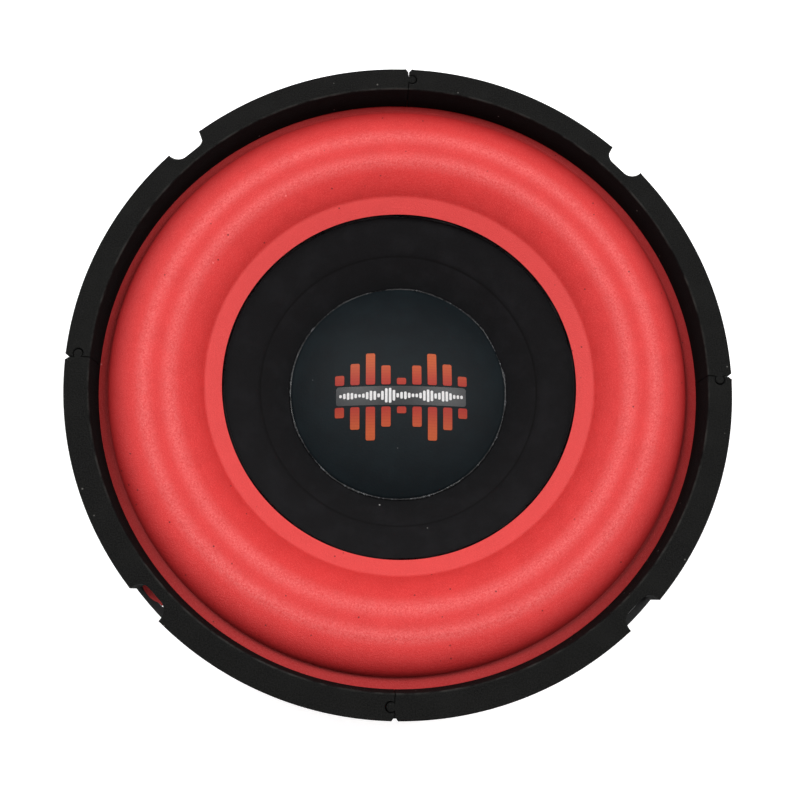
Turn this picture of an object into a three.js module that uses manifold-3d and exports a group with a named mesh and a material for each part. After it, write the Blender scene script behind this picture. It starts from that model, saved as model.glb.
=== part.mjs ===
// A 10-inch-class car subwoofer driver, standing face-up on its back plate.
// Millimetres, +Z up along the speaker's axis, origin at the centre of the back plate's rear face.
// Each sub-part is one closed, named mesh. Rings are lathed, outlines are extruded, and manifold-3d
// makes the few cuts. Touching pieces keep the clearance FIT.
import * as THREE from "three";
import { mergeVertices } from "three/addons/utils/BufferGeometryUtils.js";
import Module from "manifold-3d";

const wasm = await Module();
wasm.setup();
const rad = THREE.MathUtils.degToRad;

// ---------------------------------------------------------------- driving dimensions
const FIT = 0.3; // clearance between pieces that touch
const SEGMENTS = 48; // facets round a large ring
const INNER_SEGMENTS = 30; // facets round the motor and the coil
const QUARTERS = [0, 1, 2, 3]; // the four equal quarters round the axis

const HEIGHT = 128; // back plate's rear face to the gasket's top face
const FLANGE_R = 130; // outer radius of the mounting flange
const STEEL = 1.4; // sheet thickness of the frame

const GASKET_INSET = 1; // from the flange's edge to the gasket's edge
const GASKET_WIDTH = 9.5; // radial width of the gasket ring
const GASKET_THICK = 14.3;
const NICK = { deep: 1.3, wide: 1.2 }; // bevel at the outer corner of each seam
const KNOB = { radius: 1.7, offset: 1.5, neck: 1.1 }; // jigsaw knob across each seam
const NOTCH = { deep: 5.25, halfFloor: 3.3, halfMouth: 7.9 }; // screw clearance in the gasket

const SLOT = { inset: 5.9, wide: 6.2, long: 10.5 }; // mounting slots, centred this far in from the edge

const FOAM = 1.3; // thickness of the surround
const OUTER_LAP = { inset: 3.6, wide: 11.1 }; // the surround's outer flange, inside the frame's edge
const ROLL = { wide: 36.5, rise: 10.6, drop: 2.5 }; // rise of its crest, and drop of its inner crease
const INNER_LAP = 6.3; // radial width of the surround's inner flange, glued down on the cone
const FOAM_SLOT = { inset: 8.8, halfWide: 5.6, round: 2 }; // cut-outs for the mounting screws

const CONE_THICK = 1.2;
const CONE_LIP = 1.84; // upright lip at the cone's neck
const CONE_SWEEP = 16.8; // degrees that the curved cone wall turns through
const CONE_LAP = 0.7; // the rim reaches this far past the surround's inner crease

const CAP_R = 46.6; // dust cap's glued edge
const CAP_RISE = 12.5; // height of the dome above its edge
const CAP_THICK = 0.8;
const EMBLEM = { x: 1, y: -4.5, width: 56, barWide: 3.6, bandHalf: 2.6, thick: 0.5, turn: 1.5 };
const EMBLEM_BARS = [9, 14, 18.5, 13, 7.5, 13, 18.5, 14, 9]; // half heights, left to right

const COIL_R = 24.75; // inner radius of the former
const FORMER_WALL = 0.5;
const WINDING = { wall: 1.05, length: 24 };
const COLLAR_WALL = 0.6;
const TRAVEL = 8; // the cone's travel each way

const PLATE_THICK = 8; // top plate, and the back plate's disc
const PLATE_R = 60;
const BACK_R = 58;
const MAGNET = { outerR: 66, innerR: 36, thick: 20 };
const EDGE = 1; // chamfer on the edges of the motor's plates and magnet
const GAP_OUTER = 0.7; // air gap between the winding and the top plate
const GAP_INNER = 0.45; // air gap between the pole and the former
const POLE_PROUD = 3; // the pole stands this far above the top plate
const VENT_R = 10;
const VENT_FLARE = 3;
const SCREEN = { thick: 1, holeR: 1.5, holes: 6, circle: 0.55 }; // circle: a share of VENT_R

const SPIDER = { inset: 0.8, thick: 0.9, innerFlat: 3.4, clear: 1.2, waves: 4, swing: 2.1 };
const SPIDER_CLEAR = 18.7; // from the frame's motor seat up to the spider's landing

const LANDING_WIDTH = 12.5; // ring that the spider is glued to
const SEAT_R = 52; // outer radius of the frame's seat on the top plate
const SHOULDER_R = 57.5; // where the wall under the landing meets it
const RIM_WALL = { inset: 17.6, deep: 14, taper: 2.5, round: 2 }; // upright wall under the flange
const LEG_HALF_ANGLE = 13; // half the angle that each of the four legs takes
const WINDOW = { foot: 1.75, intoWall: 3.5 }; // steel left below, and cut into the upright wall above

const SCREW = { r: 2.5, headR: 4.6, headTall: 2.8, circleR: 42, deep: 6 };
const RECESS = { long: 5, wide: 1.1, deep: 1.6 }; // cross recess in a screw's head

const TAB = { wide: 46, reach: 21 }; // tongue of the landing that carries the terminals
const BLOCK = { wide: 40, deep: 15, tall: 16, round: 2 };
const BUTTON_PITCH = 16;
const BUTTON = { headR: 5.2, headTall: 6, stemR: 2.6, press: 3.5 };
const GRIP = { low: 2.2, tall: 1.6, deep: 0.5, slope: 0.4 }; // groove round a button's cap
const SPRING_WIRE = 0.9;
const WIRE_HOLE_R = 1.6;
const RIVET = { r: 1.6, headR: 2.5, headTall: 1.3, rim: 0.4 };
const RIVET_CLEAR = 0.8; // between a rivet's head and a pressed button
const CONTACT = { wide: 5, thick: 0.8, proud: 9, sunk: 7, eyeR: 1.1, eyeDrop: 2.5, inset: 2.2 };
const LEAD_R = 1.1; // braided tinsel lead
const JOINT_DOT = { r: 3, tall: 2.2, circleR: 42 }; // adhesive over each lead's end under the cone

// ---------------------------------------------------------------- heights, from the bottom up
const MAGNET_Z = PLATE_THICK + FIT;
const TOP_PLATE_Z = MAGNET_Z + MAGNET.thick + FIT;
const GAP_MID_Z = TOP_PLATE_Z + PLATE_THICK / 2;
const SEAT_Z = TOP_PLATE_Z + PLATE_THICK + FIT;
const LANDING_Z = SEAT_Z + SPIDER_CLEAR + STEEL;
const SPIDER_Z = LANDING_Z + FIT;
const GASKET_Z = HEIGHT - GASKET_THICK;
const FOAM_TOP_Z = GASKET_Z - FIT;
const FLANGE_TOP_Z = FOAM_TOP_Z - FOAM - FIT;
const FLANGE_Z = FLANGE_TOP_Z - STEEL;
const INNER_CREASE_Z = FOAM_TOP_Z - ROLL.drop;
const WALL_FOOT_Z = FLANGE_TOP_Z - RIM_WALL.deep;

// ---------------------------------------------------------------- radii that follow
const GASKET_R = FLANGE_R - GASKET_INSET;
const GASKET_INNER_R = GASKET_R - GASKET_WIDTH;
const POLE_R = COIL_R - GAP_INNER;
const FORMER_R = COIL_R + FORMER_WALL;
const WINDING_R = FORMER_R + FIT + WINDING.wall;
const COLLAR_R = FORMER_R + FIT + COLLAR_WALL;
const NECK_R = COLLAR_R + FIT;
const GAP_R = WINDING_R + GAP_OUTER;
const LANDING_R = SHOULDER_R + LANDING_WIDTH;
const RIM_WALL_R = FLANGE_R - RIM_WALL.inset;
const FOAM_R = FLANGE_R - OUTER_LAP.inset;
const CREASE_R = FOAM_R - OUTER_LAP.wide;
const INNER_CREASE_R = CREASE_R - ROLL.wide;

// The cone's lip ends a fit above the spider. The surround's inner flange takes the slope of the
// cone's rim, and the rim lies one foam thickness and a fit under it.
const CONE_LIP_Z = SPIDER_Z + SPIDER.thick + FIT;
const CONE_NECK_Z = CONE_LIP_Z + CONE_LIP;
const CONE_CHORD = Math.atan2(INNER_CREASE_Z - CONE_NECK_Z, INNER_CREASE_R - NECK_R);
const LAP_TILT = CONE_CHORD - rad(CONE_SWEEP / 2);
const GLUE_STEP = (FOAM + FIT) / Math.cos(LAP_TILT);
const CONE_RIM_R = INNER_CREASE_R + CONE_LAP;
const CONE_RIM_Z = INNER_CREASE_Z - GLUE_STEP + CONE_LAP * Math.tan(LAP_TILT);

// ---------------------------------------------------------------- finishes
const paint = (colour, roughness, metalness) =>
  new THREE.MeshStandardMaterial({ color: colour, roughness, metalness });
const FINISH = {
  gasket: paint(0x212120, 0.9, 0),
  foam: paint(0xd63a3c, 0.75, 0),
  paper: paint(0x1c1c1e, 0.85, 0),
  cap: paint(0x20262a, 0.5, 0),
  print: paint(0xd9481e, 0.45, 0),
  steel: paint(0x161617, 0.45, 0.4),
  plated: paint(0xb9bcc0, 0.35, 1),
  zinc: paint(0x8f9298, 0.4, 1),
  ferrite: paint(0x2c2c2e, 0.7, 0.1),
  cloth: paint(0xc9a14f, 0.85, 0),
  film: paint(0xb9c2c8, 0.35, 0.8),
  card: paint(0x3a2f28, 0.85, 0),
  copper: paint(0xb5652f, 0.35, 1),
  brass: paint(0xc7a14a, 0.35, 1),
  red: paint(0xb3161b, 0.4, 0),
  black: paint(0x151516, 0.45, 0),
  mesh: paint(0x2a2b2d, 0.5, 0.8),
};

// ---------------------------------------------------------------- geometry helpers
const at = (x, y) => new THREE.Vector2(x, y);
const polar = (r, angle) => at(r * Math.cos(angle), r * Math.sin(angle));

// A closed geometry as a manifold-3d solid, turned right side out if its faces point in.
function solid(geometry) {
  const bare = geometry.index ? geometry.toNonIndexed() : geometry.clone();
  bare.deleteAttribute("normal");
  bare.deleteAttribute("uv");
  const merged = mergeVertices(bare, 1e-4);
  const triVerts = new Uint32Array(merged.index.array);
  const make = () =>
    new wasm.Manifold(
      new wasm.Mesh({ numProp: 3, vertProperties: merged.attributes.position.array, triVerts }),
    );
  const made = make();
  if (made.volume() > 0) return made;
  triVerts.reverse();
  return make();
}

// A manifold-3d solid as a named mesh.
function piece(name, body, material) {
  const made = body.getMesh();
  const geometry = new THREE.BufferGeometry();
  geometry.setAttribute("position", new THREE.BufferAttribute(made.vertProperties, 3));
  geometry.setIndex(new THREE.BufferAttribute(made.triVerts, 1));
  geometry.computeVertexNormals();
  const mesh = new THREE.Mesh(geometry, material);
  mesh.name = name;
  return mesh;
}

// A closed outline of (radius, height) points turned round the Z axis.
function lathed(points, segments = SEGMENTS) {
  const onAxis = points[0].x === 0 && points[points.length - 1].x === 0;
  const outline = onAxis ? points : [...points, points[0].clone()];
  return solid(new THREE.LatheGeometry(outline, segments).rotateX(Math.PI / 2));
}

// A closed outline in the XY plane, raised from z0 to z1.
function raised(points, z0, z1) {
  const shape = new THREE.Shape(points);
  const geometry = new THREE.ExtrudeGeometry(shape, { depth: z1 - z0, bevelEnabled: false });
  return solid(geometry.translate(0, 0, z0));
}

// A plain ring or, where inner is 0, a disc.
function ring(inner, outer, z0, z1, segments = SEGMENTS) {
  return lathed([at(inner, z0), at(outer, z0), at(outer, z1), at(inner, z1)], segments);
}

// Points on a circle's arc from angle a0 to a1, both in radians, ends included.
function arc(cx, cy, r, a0, a1, steps) {
  return Array.from({ length: steps + 1 }, (_, i) => {
    const angle = a0 + ((a1 - a0) * i) / steps;
    return at(cx + r * Math.cos(angle), cy + r * Math.sin(angle));
  });
}

// The arc that joins two points and turns through the given angle, bulging to the left of its path.
function bowed(from, to, turn, steps) {
  const chord = to.clone().sub(from);
  const half = turn / 2;
  const r = chord.length() / (2 * Math.sin(half));
  const middle = from.clone().add(to).multiplyScalar(0.5);
  const left = at(-chord.y, chord.x).normalize();
  const centre = middle.clone().addScaledVector(left, -r * Math.cos(half));
  const start = from.clone().sub(centre).angle();
  return arc(centre.x, centre.y, r, start, start - turn, steps);
}

// Each point of an open line moved to the left of its path by a distance.
function offset(line, distance) {
  return line.map((point, i) => {
    const before = line[Math.max(i - 1, 0)];
    const after = line[Math.min(i + 1, line.length - 1)];
    const along = after.clone().sub(before).normalize();
    return point.clone().add(at(-along.y, along.x).multiplyScalar(distance));
  });
}

// A sheet of even thickness that lies to the right of the line, as a closed outline.
const sheet = (line, thick) => [...line, ...offset(line, -thick).reverse()];

// A solid turned about Z by an angle in radians.
const turned = (body, angle) => body.rotate([0, 0, THREE.MathUtils.radToDeg(angle)]);

// A rectangle centred on (x, y) with rounded corners, or with bevelled ones where steps is 1.
function roundedBox(x, y, wide, deep, round, steps = 1) {
  const hx = wide / 2 - round;
  const hy = deep / 2 - round;
  const corner = (sx, sy, a0) => arc(x + sx * hx, y + sy * hy, round, a0, a0 + Math.PI / 2, steps);
  return [
    ...corner(1, 1, 0),
    ...corner(-1, 1, Math.PI / 2),
    ...corner(-1, -1, Math.PI),
    ...corner(1, -1, 1.5 * Math.PI),
  ];
}

// An upright cylinder.
function post(x, y, r, z0, z1, sides = 12) {
  return ring(0, r, z0, z1, sides).translate([x, y, 0]);
}

// ---------------------------------------------------------------- frame
// A mounting slot: an oblong across the radius along +X.
function slotOutline() {
  const centreR = FLANGE_R - SLOT.inset;
  const r = SLOT.wide / 2;
  const reach = SLOT.long / 2 - r;
  return [
    ...arc(centreR, reach, r, 0, Math.PI, 8),
    ...arc(centreR, -reach, r, Math.PI, 2 * Math.PI, 8),
  ];
}

// The frame's upper face: motor seat, shoulder, spider landing, sloping legs, rim wall and flange.
function frameLine() {
  const { taper, round } = RIM_WALL;
  const seatTop = SEAT_Z + STEEL;
  return [
    at(GAP_R, seatTop),
    at(SEAT_R, seatTop),
    at(SEAT_R + 2, seatTop + 2),
    at(SHOULDER_R - 2, LANDING_Z - 2),
    at(SHOULDER_R, LANDING_Z),
    at(LANDING_R, LANDING_Z),
    at(RIM_WALL_R - taper, WALL_FOOT_Z),
    ...arc(RIM_WALL_R + round, FLANGE_TOP_Z - round, round, Math.PI, Math.PI / 2, 3),
    at(FLANGE_R, FLANGE_TOP_Z),
  ];
}

// One window between two legs, centred on +X: a wedge cut through the sloping wall.
function windowCut() {
  const half = Math.PI / 4 - rad(LEG_HALF_ANGLE);
  const outer = arc(0, 0, FLANGE_R, -half, half, 8);
  const inner = arc(0, 0, LANDING_R + WINDOW.foot, half, -half, 8);
  return raised([...outer, ...inner], LANDING_Z + WINDOW.foot, WALL_FOOT_Z + WINDOW.intoWall);
}

function basket() {
  let body = lathed(sheet(frameLine(), STEEL));
  for (const quarter of QUARTERS) {
    const turn = (quarter * Math.PI) / 2;
    body = body.subtract(turned(windowCut(), turn));
    const slot = raised(slotOutline(), FLANGE_Z - 1, FLANGE_TOP_Z + 1);
    body = body.subtract(turned(slot, turn + Math.PI / 4));
    const hole = post(SCREW.circleR, 0, SCREW.r + FIT, SEAT_Z - 1, SEAT_Z + STEEL + 1);
    body = body.subtract(turned(hole, turn + Math.PI / 4));
  }
  return body.add(terminalTab()).subtract(terminalHoles());
}

// ---------------------------------------------------------------- gasket
// One quarter of the ring from +X to +Y, with a knob at its +X end and its socket at its +Y end.
function gasketOutline() {
  const seam = FIT / 2;
  const middleR = (GASKET_R + GASKET_INNER_R) / 2;
  const knobTop = Math.sqrt(KNOB.radius ** 2 - KNOB.neck ** 2);
  const knobFrom = Math.atan2(knobTop, -KNOB.neck);
  const knob = arc(middleR, seam - KNOB.offset, KNOB.radius, knobFrom, 3 * Math.PI - knobFrom, 9);

  // The socket is the next piece's knob, a fit larger all round, in the frame of the +Y seam.
  const socketR = KNOB.radius + FIT;
  const socketFrom = Math.PI - Math.asin((KNOB.offset - seam) / socketR);
  const socket = arc(middleR, -KNOB.offset, socketR, 3 * Math.PI - socketFrom, socketFrom, 9);
  const toTopSeam = (point) => at(-point.y, point.x);

  const nickAngle = NICK.wide / GASKET_R;
  const halfMouth = Math.asin(NOTCH.halfMouth / GASKET_R);
  const atSeam = at(GASKET_INNER_R, seam);
  return [
    atSeam,
    at(middleR - KNOB.neck, seam),
    ...knob,
    at(middleR + KNOB.neck, seam),
    at(GASKET_R - NICK.deep, seam),
    ...arc(0, 0, GASKET_R, nickAngle, Math.PI / 4 - halfMouth, 7),
    ...notchOutline(),
    ...arc(0, 0, GASKET_R, Math.PI / 4 + halfMouth, Math.PI / 2 - nickAngle, 7),
    ...[
      at(GASKET_R - NICK.deep, -seam),
      ...socket,
      at(GASKET_INNER_R, -seam),
    ].map(toTopSeam),
    ...arc(0, 0, GASKET_INNER_R, Math.PI / 2, 0, 14).slice(1, -1),
  ];
}

// The notch's floor and its two quarter-ellipse sides, at 45 degrees.
function notchOutline() {
  const floorR = GASKET_R - NOTCH.deep;
  const depth = Math.sqrt(GASKET_R ** 2 - NOTCH.halfMouth ** 2) - floorR;
  const flare = NOTCH.halfMouth - NOTCH.halfFloor;
  const side = (sign) =>
    [0, 1, 2, 3, 4, 5].map((i) => {
      const t = (i * Math.PI) / 10;
      const u = floorR + depth * (1 - Math.cos(t));
      return at(u, sign * (NOTCH.halfFloor + flare * Math.sin(t)));
    });
  const local = [...side(-1).reverse().slice(1), ...side(1).slice(0, -1)];
  return local.map((point) => point.rotateAround(at(0, 0), Math.PI / 4));
}

function gasketSegments() {
  const quarter = raised(gasketOutline(), GASKET_Z, HEIGHT);
  return QUARTERS.map((i) =>
    piece("gasket_segment_" + (i + 1), turned(quarter, (i * Math.PI) / 2), FINISH.gasket),
  );
}

// ---------------------------------------------------------------- moving assembly
function surround() {
  const outerCrease = at(CREASE_R, FOAM_TOP_Z);
  const innerCrease = at(INNER_CREASE_R, INNER_CREASE_Z);
  const turn = 4 * Math.atan2(ROLL.rise, ROLL.wide / 2);
  const line = [
    at(INNER_CREASE_R - INNER_LAP, INNER_CREASE_Z - INNER_LAP * Math.tan(LAP_TILT)),
    ...bowed(innerCrease, outerCrease, turn, 8),
    at(FOAM_R, FOAM_TOP_Z),
  ];
  let body = lathed(sheet(line, FOAM));
  const { inset, halfWide, round } = FOAM_SLOT;
  const cornerR = FLANGE_R - inset + round;
  const outline = [
    at(FLANGE_R, -halfWide),
    at(FLANGE_R, halfWide),
    ...arc(cornerR, halfWide - round, round, Math.PI / 2, Math.PI, 3),
    ...arc(cornerR, round - halfWide, round, Math.PI, 1.5 * Math.PI, 3),
  ];
  const cut = raised(outline, FLANGE_TOP_Z - 1, FOAM_TOP_Z + 1);
  for (const quarter of QUARTERS) {
    body = body.subtract(turned(cut, Math.PI / 4 + (quarter * Math.PI) / 2));
  }
  return body;
}

// The cone wall's upper surface from neck to rim.
function coneLine() {
  const neck = at(NECK_R, CONE_NECK_Z);
  const rim = at(CONE_RIM_R, CONE_RIM_Z);
  return bowed(neck, rim, rad(CONE_SWEEP), 5);
}

// The cone ends in a short upright lip that is glued to the collar, just above the spider.
function cone() {
  return lathed(sheet([at(NECK_R, CONE_LIP_Z), ...coneLine()], CONE_THICK));
}

// Height of a line of (radius, height) points at one radius.
function heightAt(line, r) {
  const next = line.findIndex((point) => point.x >= r);
  const [a, b] = [line[next - 1], line[next]];
  return a.y + ((b.y - a.y) * (r - a.x)) / (b.x - a.x);
}

const CAP_Z = heightAt(coneLine(), CAP_R) + FIT;

// The dome's section, raised above the dust cap's own surface by lift.
function domeLine(lift) {
  const ballR = (CAP_R ** 2 + CAP_RISE ** 2) / (2 * CAP_RISE);
  const half = Math.asin(CAP_R / ballR);
  const centre = CAP_Z + CAP_THICK + CAP_RISE - ballR;
  return arc(0, centre, ballR + lift, Math.PI / 2, Math.PI / 2 - half, 5);
}

function dustCap() {
  const outside = domeLine(0);
  const inside = domeLine(-CAP_THICK);
  outside[0].x = 0;
  inside[0].x = 0;
  return lathed([...outside, ...inside.reverse()], INNER_SEGMENTS);
}

// A row of sound-level bars on one band, cut to the dome's curve.
function emblem() {
  const { x: middleX, y: middleY, width, barWide, bandHalf, thick, turn } = EMBLEM;
  const pitch = (width - barWide) / (EMBLEM_BARS.length - 1);
  const base = CAP_Z;
  const top = CAP_Z + CAP_RISE + 5;
  let flat = raised(roundedBox(0, 0, width, 2 * bandHalf, 1), base, top);
  EMBLEM_BARS.forEach((half, i) => {
    const x = i * pitch - (width - barWide) / 2;
    flat = flat.add(raised(roundedBox(x, 0, barWide, 2 * half, 1), base, top));
  });
  const under = domeLine(FIT);
  const over = domeLine(FIT + thick);
  under[0].x = 0;
  over[0].x = 0;
  const placed = turned(flat, rad(turn)).translate([middleX, middleY, 0]);
  return placed.intersect(lathed([...over, ...under.reverse()], INNER_SEGMENTS));
}

function spider() {
  const { inset, thick, innerFlat, clear, waves, swing } = SPIDER;
  const outerR = LANDING_R - inset;
  const from = NECK_R + innerFlat;
  const to = SHOULDER_R - clear;
  const steps = waves * 4;
  const top = SPIDER_Z + thick;
  const wavy = Array.from({ length: steps + 1 }, (_, i) => {
    const t = i / steps;
    return at(from + (to - from) * t, top + swing * Math.sin(2 * Math.PI * waves * t));
  });
  const line = [at(NECK_R, top), ...wavy, at(outerR, top)];
  return lathed(sheet(line, thick), INNER_SEGMENTS);
}

const WINDING_Z = GAP_MID_Z - WINDING.length / 2;
const FORMER_Z = WINDING_Z - 1;
const NECK_TOP_Z = CONE_NECK_Z + 1;
const COLLAR_Z = WINDING_Z + WINDING.length + 2;

const sleeve = (inner, outer, z0, z1) => ring(inner, outer, z0, z1, INNER_SEGMENTS);
const former = () => sleeve(COIL_R, FORMER_R, FORMER_Z, NECK_TOP_Z + 1);
const winding = () => sleeve(FORMER_R + FIT, WINDING_R, WINDING_Z, WINDING_Z + WINDING.length);
const collar = () => sleeve(FORMER_R + FIT, COLLAR_R, COLLAR_Z, NECK_TOP_Z);

// ---------------------------------------------------------------- motor
function tYoke() {
  const poleTop = TOP_PLATE_Z + PLATE_THICK + POLE_PROUD;
  const section = [
    at(VENT_R + VENT_FLARE, 0),
    at(BACK_R - EDGE, 0),
    at(BACK_R, EDGE),
    at(BACK_R, PLATE_THICK - EDGE),
    at(BACK_R - EDGE, PLATE_THICK),
    at(POLE_R, PLATE_THICK),
    at(POLE_R, poleTop - EDGE),
    at(POLE_R - EDGE, poleTop),
    at(VENT_R, poleTop),
    at(VENT_R, VENT_FLARE),
  ];
  return lathed(section, INNER_SEGMENTS);
}

function magnet() {
  const { outerR, innerR, thick } = MAGNET;
  const top = MAGNET_Z + thick;
  return lathed([
    at(innerR, MAGNET_Z),
    at(outerR - EDGE, MAGNET_Z),
    at(outerR, MAGNET_Z + EDGE),
    at(outerR, top - EDGE),
    at(outerR - EDGE, top),
    at(innerR, top),
  ]);
}

// The top plate, with a blind hole for each frame screw.
function topPlate() {
  const top = TOP_PLATE_Z + PLATE_THICK;
  const section = [
    at(GAP_R, TOP_PLATE_Z),
    at(PLATE_R - EDGE, TOP_PLATE_Z),
    at(PLATE_R, TOP_PLATE_Z + EDGE),
    at(PLATE_R, top - EDGE),
    at(PLATE_R - EDGE, top),
    at(GAP_R, top),
  ];
  let body = lathed(section, INNER_SEGMENTS);
  const hole = post(SCREW.circleR, 0, SCREW.r + FIT, top - SCREW.deep - FIT, top + 1);
  for (const quarter of QUARTERS) {
    body = body.subtract(turned(hole, Math.PI / 4 + (quarter * Math.PI) / 2));
  }
  return body;
}

function ventScreen() {
  const { thick, holeR, holes, circle } = SCREEN;
  const low = VENT_FLARE + FIT;
  const hole = (x, y) => post(x, y, holeR, low - 1, low + thick + 1, 8);
  let body = ring(0, VENT_R - FIT, low, low + thick, 24).subtract(hole(0, 0));
  for (let i = 0; i < holes; i += 1) {
    const centre = polar(VENT_R * circle, (2 * i * Math.PI) / holes);
    body = body.subtract(hole(centre.x, centre.y));
  }
  return body;
}

// A pan-head screw with a cross recess, its shank in the top plate.
function frameScrew() {
  const under = SEAT_Z + STEEL + FIT;
  const top = under + SCREW.headTall;
  const tip = SEAT_Z - FIT - SCREW.deep;
  const turnedBody = lathed(
    [
      at(0, tip),
      at(SCREW.r - 0.8, tip),
      at(SCREW.r, tip + 0.8),
      at(SCREW.r, under),
      at(SCREW.headR, under),
      at(SCREW.headR, top - 1.2),
      at(SCREW.headR - 1.4, top),
      at(0, top),
    ],
    10,
  );
  const blade = raised(roundedBox(0, 0, RECESS.long, RECESS.wide, 0.3), top - RECESS.deep, top + 1);
  return turnedBody.subtract(blade).subtract(turned(blade, Math.PI / 2));
}

function frameScrews() {
  return QUARTERS.map((i) => {
    const centre = polar(SCREW.circleR, Math.PI / 4 + (i * Math.PI) / 2);
    const placed = frameScrew().translate([centre.x, centre.y, 0]);
    return piece("frame_screw_" + (i + 1), placed, FINISH.zinc);
  });
}

// ---------------------------------------------------------------- terminals
// The tab runs out from the landing along -Y, and the block hangs under it.
const TAB_Z = LANDING_Z - STEEL;
const TAB_EDGE = LANDING_R + TAB.reach;
const BLOCK_TOP = TAB_Z - FIT;
const BLOCK_Y = -(TAB_EDGE - 1 - BLOCK.deep / 2);
const CONTACT_Y = BLOCK_Y + BLOCK.deep / 2 - CONTACT.inset;
const RIVET_X = BUTTON_PITCH / 2 + BUTTON.headR + RIVET_CLEAR + RIVET.headR;
const WELL_R = BUTTON.headR - 1;
const BORE_R = BUTTON.stemR + FIT;
const BORE_TOP = BLOCK_TOP - 1.6;
const WELL_TOP = BLOCK_TOP - BLOCK.tall / 2;
const HEAD_TOP = BLOCK_TOP - BLOCK.tall - BUTTON.press - FIT;
const EYE_Z = LANDING_Z + CONTACT.proud - CONTACT.eyeDrop;
const SIDES = [
  { name: "positive", x: -BUTTON_PITCH / 2, material: FINISH.red },
  { name: "negative", x: BUTTON_PITCH / 2, material: FINISH.black },
];

function terminalTab() {
  const inner = LANDING_R - 2;
  const middle = -(inner + TAB_EDGE) / 2;
  return raised(roundedBox(0, middle, TAB.wide, TAB_EDGE - inner, 2, 3), TAB_Z, LANDING_Z);
}

// One rivet's hole, from z0 to z1.
const rivetHole = (sign, z0, z1) => post(sign * RIVET_X, BLOCK_Y, RIVET.r + FIT, z0, z1);

// Rivet holes and contact slots through the tab.
function terminalHoles() {
  const low = TAB_Z - 1;
  const high = LANDING_Z + 1;
  const rivets = [-1, 1].map((sign) => rivetHole(sign, low, high));
  const slots = SIDES.map(({ x }) => contactSlot(x, low, high));
  return [...rivets, ...slots].reduce((all, hole) => all.add(hole));
}

function contactSlot(x, z0, z1) {
  const { wide, thick } = CONTACT;
  return raised(roundedBox(x, CONTACT_Y, wide + 2 * FIT, thick + 2 * FIT, 0.2), z0, z1);
}

function terminalBlock() {
  const low = BLOCK_TOP - BLOCK.tall;
  let body = raised(roundedBox(0, BLOCK_Y, BLOCK.wide, BLOCK.deep, BLOCK.round, 3), low, BLOCK_TOP);
  const wireHole = ring(0, WIRE_HOLE_R, 0, BLOCK.deep, 12).rotate([90, 0, 0]);
  for (const { x } of SIDES) {
    body = body.subtract(post(x, BLOCK_Y, WELL_R, low - 1, WELL_TOP, 16));
    body = body.subtract(post(x, BLOCK_Y, BORE_R, WELL_TOP - 1, BORE_TOP));
    body = body.subtract(contactSlot(x, BLOCK_TOP - CONTACT.sunk - FIT, BLOCK_TOP + 1));
    body = body.subtract(wireHole.translate([x, BLOCK_Y, (WELL_TOP + BORE_TOP) / 2]));
  }
  for (const sign of [-1, 1]) body = body.subtract(rivetHole(sign, low - 1, BLOCK_TOP + 1));
  return body;
}

// A rivet whose heads close on the block's foot and the tab's top face.
function terminalRivet(x) {
  const foot = BLOCK_TOP - BLOCK.tall - FIT;
  const top = LANDING_Z + FIT;
  const { r, headR, headTall, rim } = RIVET;
  const crownR = headR - headTall + rim;
  const section = [
    at(0, foot - headTall),
    at(crownR, foot - headTall),
    at(headR, foot - rim),
    at(headR, foot),
    at(r, foot),
    at(r, top),
    at(headR, top),
    at(headR, top + rim),
    at(crownR, top + headTall),
    at(0, top + headTall),
  ];
  return lathed(section, 10).translate([x, BLOCK_Y, 0]);
}

// A cap with a grooved skirt on a stem; pressing it lifts the stem past the wire hole.
function pushButton(x) {
  const { headR, headTall, stemR, press } = BUTTON;
  const low = HEAD_TOP - headTall;
  const stemTop = BORE_TOP - press - FIT;
  const gripLow = low + GRIP.low;
  const gripHigh = gripLow + GRIP.tall;
  const gripR = headR - GRIP.deep;
  const section = [
    at(0, low),
    at(headR - 1, low),
    at(headR, low + 1),
    at(headR, gripLow),
    at(gripR, gripLow + GRIP.slope),
    at(gripR, gripHigh - GRIP.slope),
    at(headR, gripHigh),
    at(headR, HEAD_TOP),
    at(stemR, HEAD_TOP),
    at(stemR, stemTop),
    at(0, stemTop),
  ];
  return lathed(section, 16).translate([x, BLOCK_Y, 0]);
}

// The return spring's envelope, a sleeve round the stem.
function buttonSpring(x) {
  const inner = BORE_R + 0.1;
  const sleeve = ring(inner, inner + SPRING_WIRE, HEAD_TOP + FIT, WELL_TOP - FIT, 16);
  return sleeve.translate([x, BLOCK_Y, 0]);
}

// A flat brass strip that stands through block and tab, with an eye for the lead.
function contactStrip(x) {
  const { wide, thick, proud, sunk, eyeR } = CONTACT;
  const top = LANDING_Z + proud;
  const strip = raised(roundedBox(x, CONTACT_Y, wide, thick, 0.2), BLOCK_TOP - sunk, top);
  const eye = ring(0, eyeR, -thick, thick, 10).rotate([90, 0, 0]);
  return strip.subtract(eye.translate([x, CONTACT_Y, EYE_Z]));
}

// Where each lead is fixed under the cone, inside the dust cap's edge: the point on the cone's
// upper face, and the slope of the wall there.
const JOINT_R = JOINT_DOT.circleR;
const JOINT_Z = heightAt(coneLine(), JOINT_R);
const JOINT_RISE = heightAt(coneLine(), JOINT_R + 0.5) - heightAt(coneLine(), JOINT_R - 0.5);
const JOINT_SLOPE = Math.atan(JOINT_RISE);

// The point this far under the cone's upper face at a lead's joint, square to the wall.
function underCone(x, depth) {
  const r = JOINT_R + depth * Math.sin(JOINT_SLOPE);
  return new THREE.Vector3(x, -Math.sqrt(r ** 2 - x ** 2), JOINT_Z - depth * Math.cos(JOINT_SLOPE));
}

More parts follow.
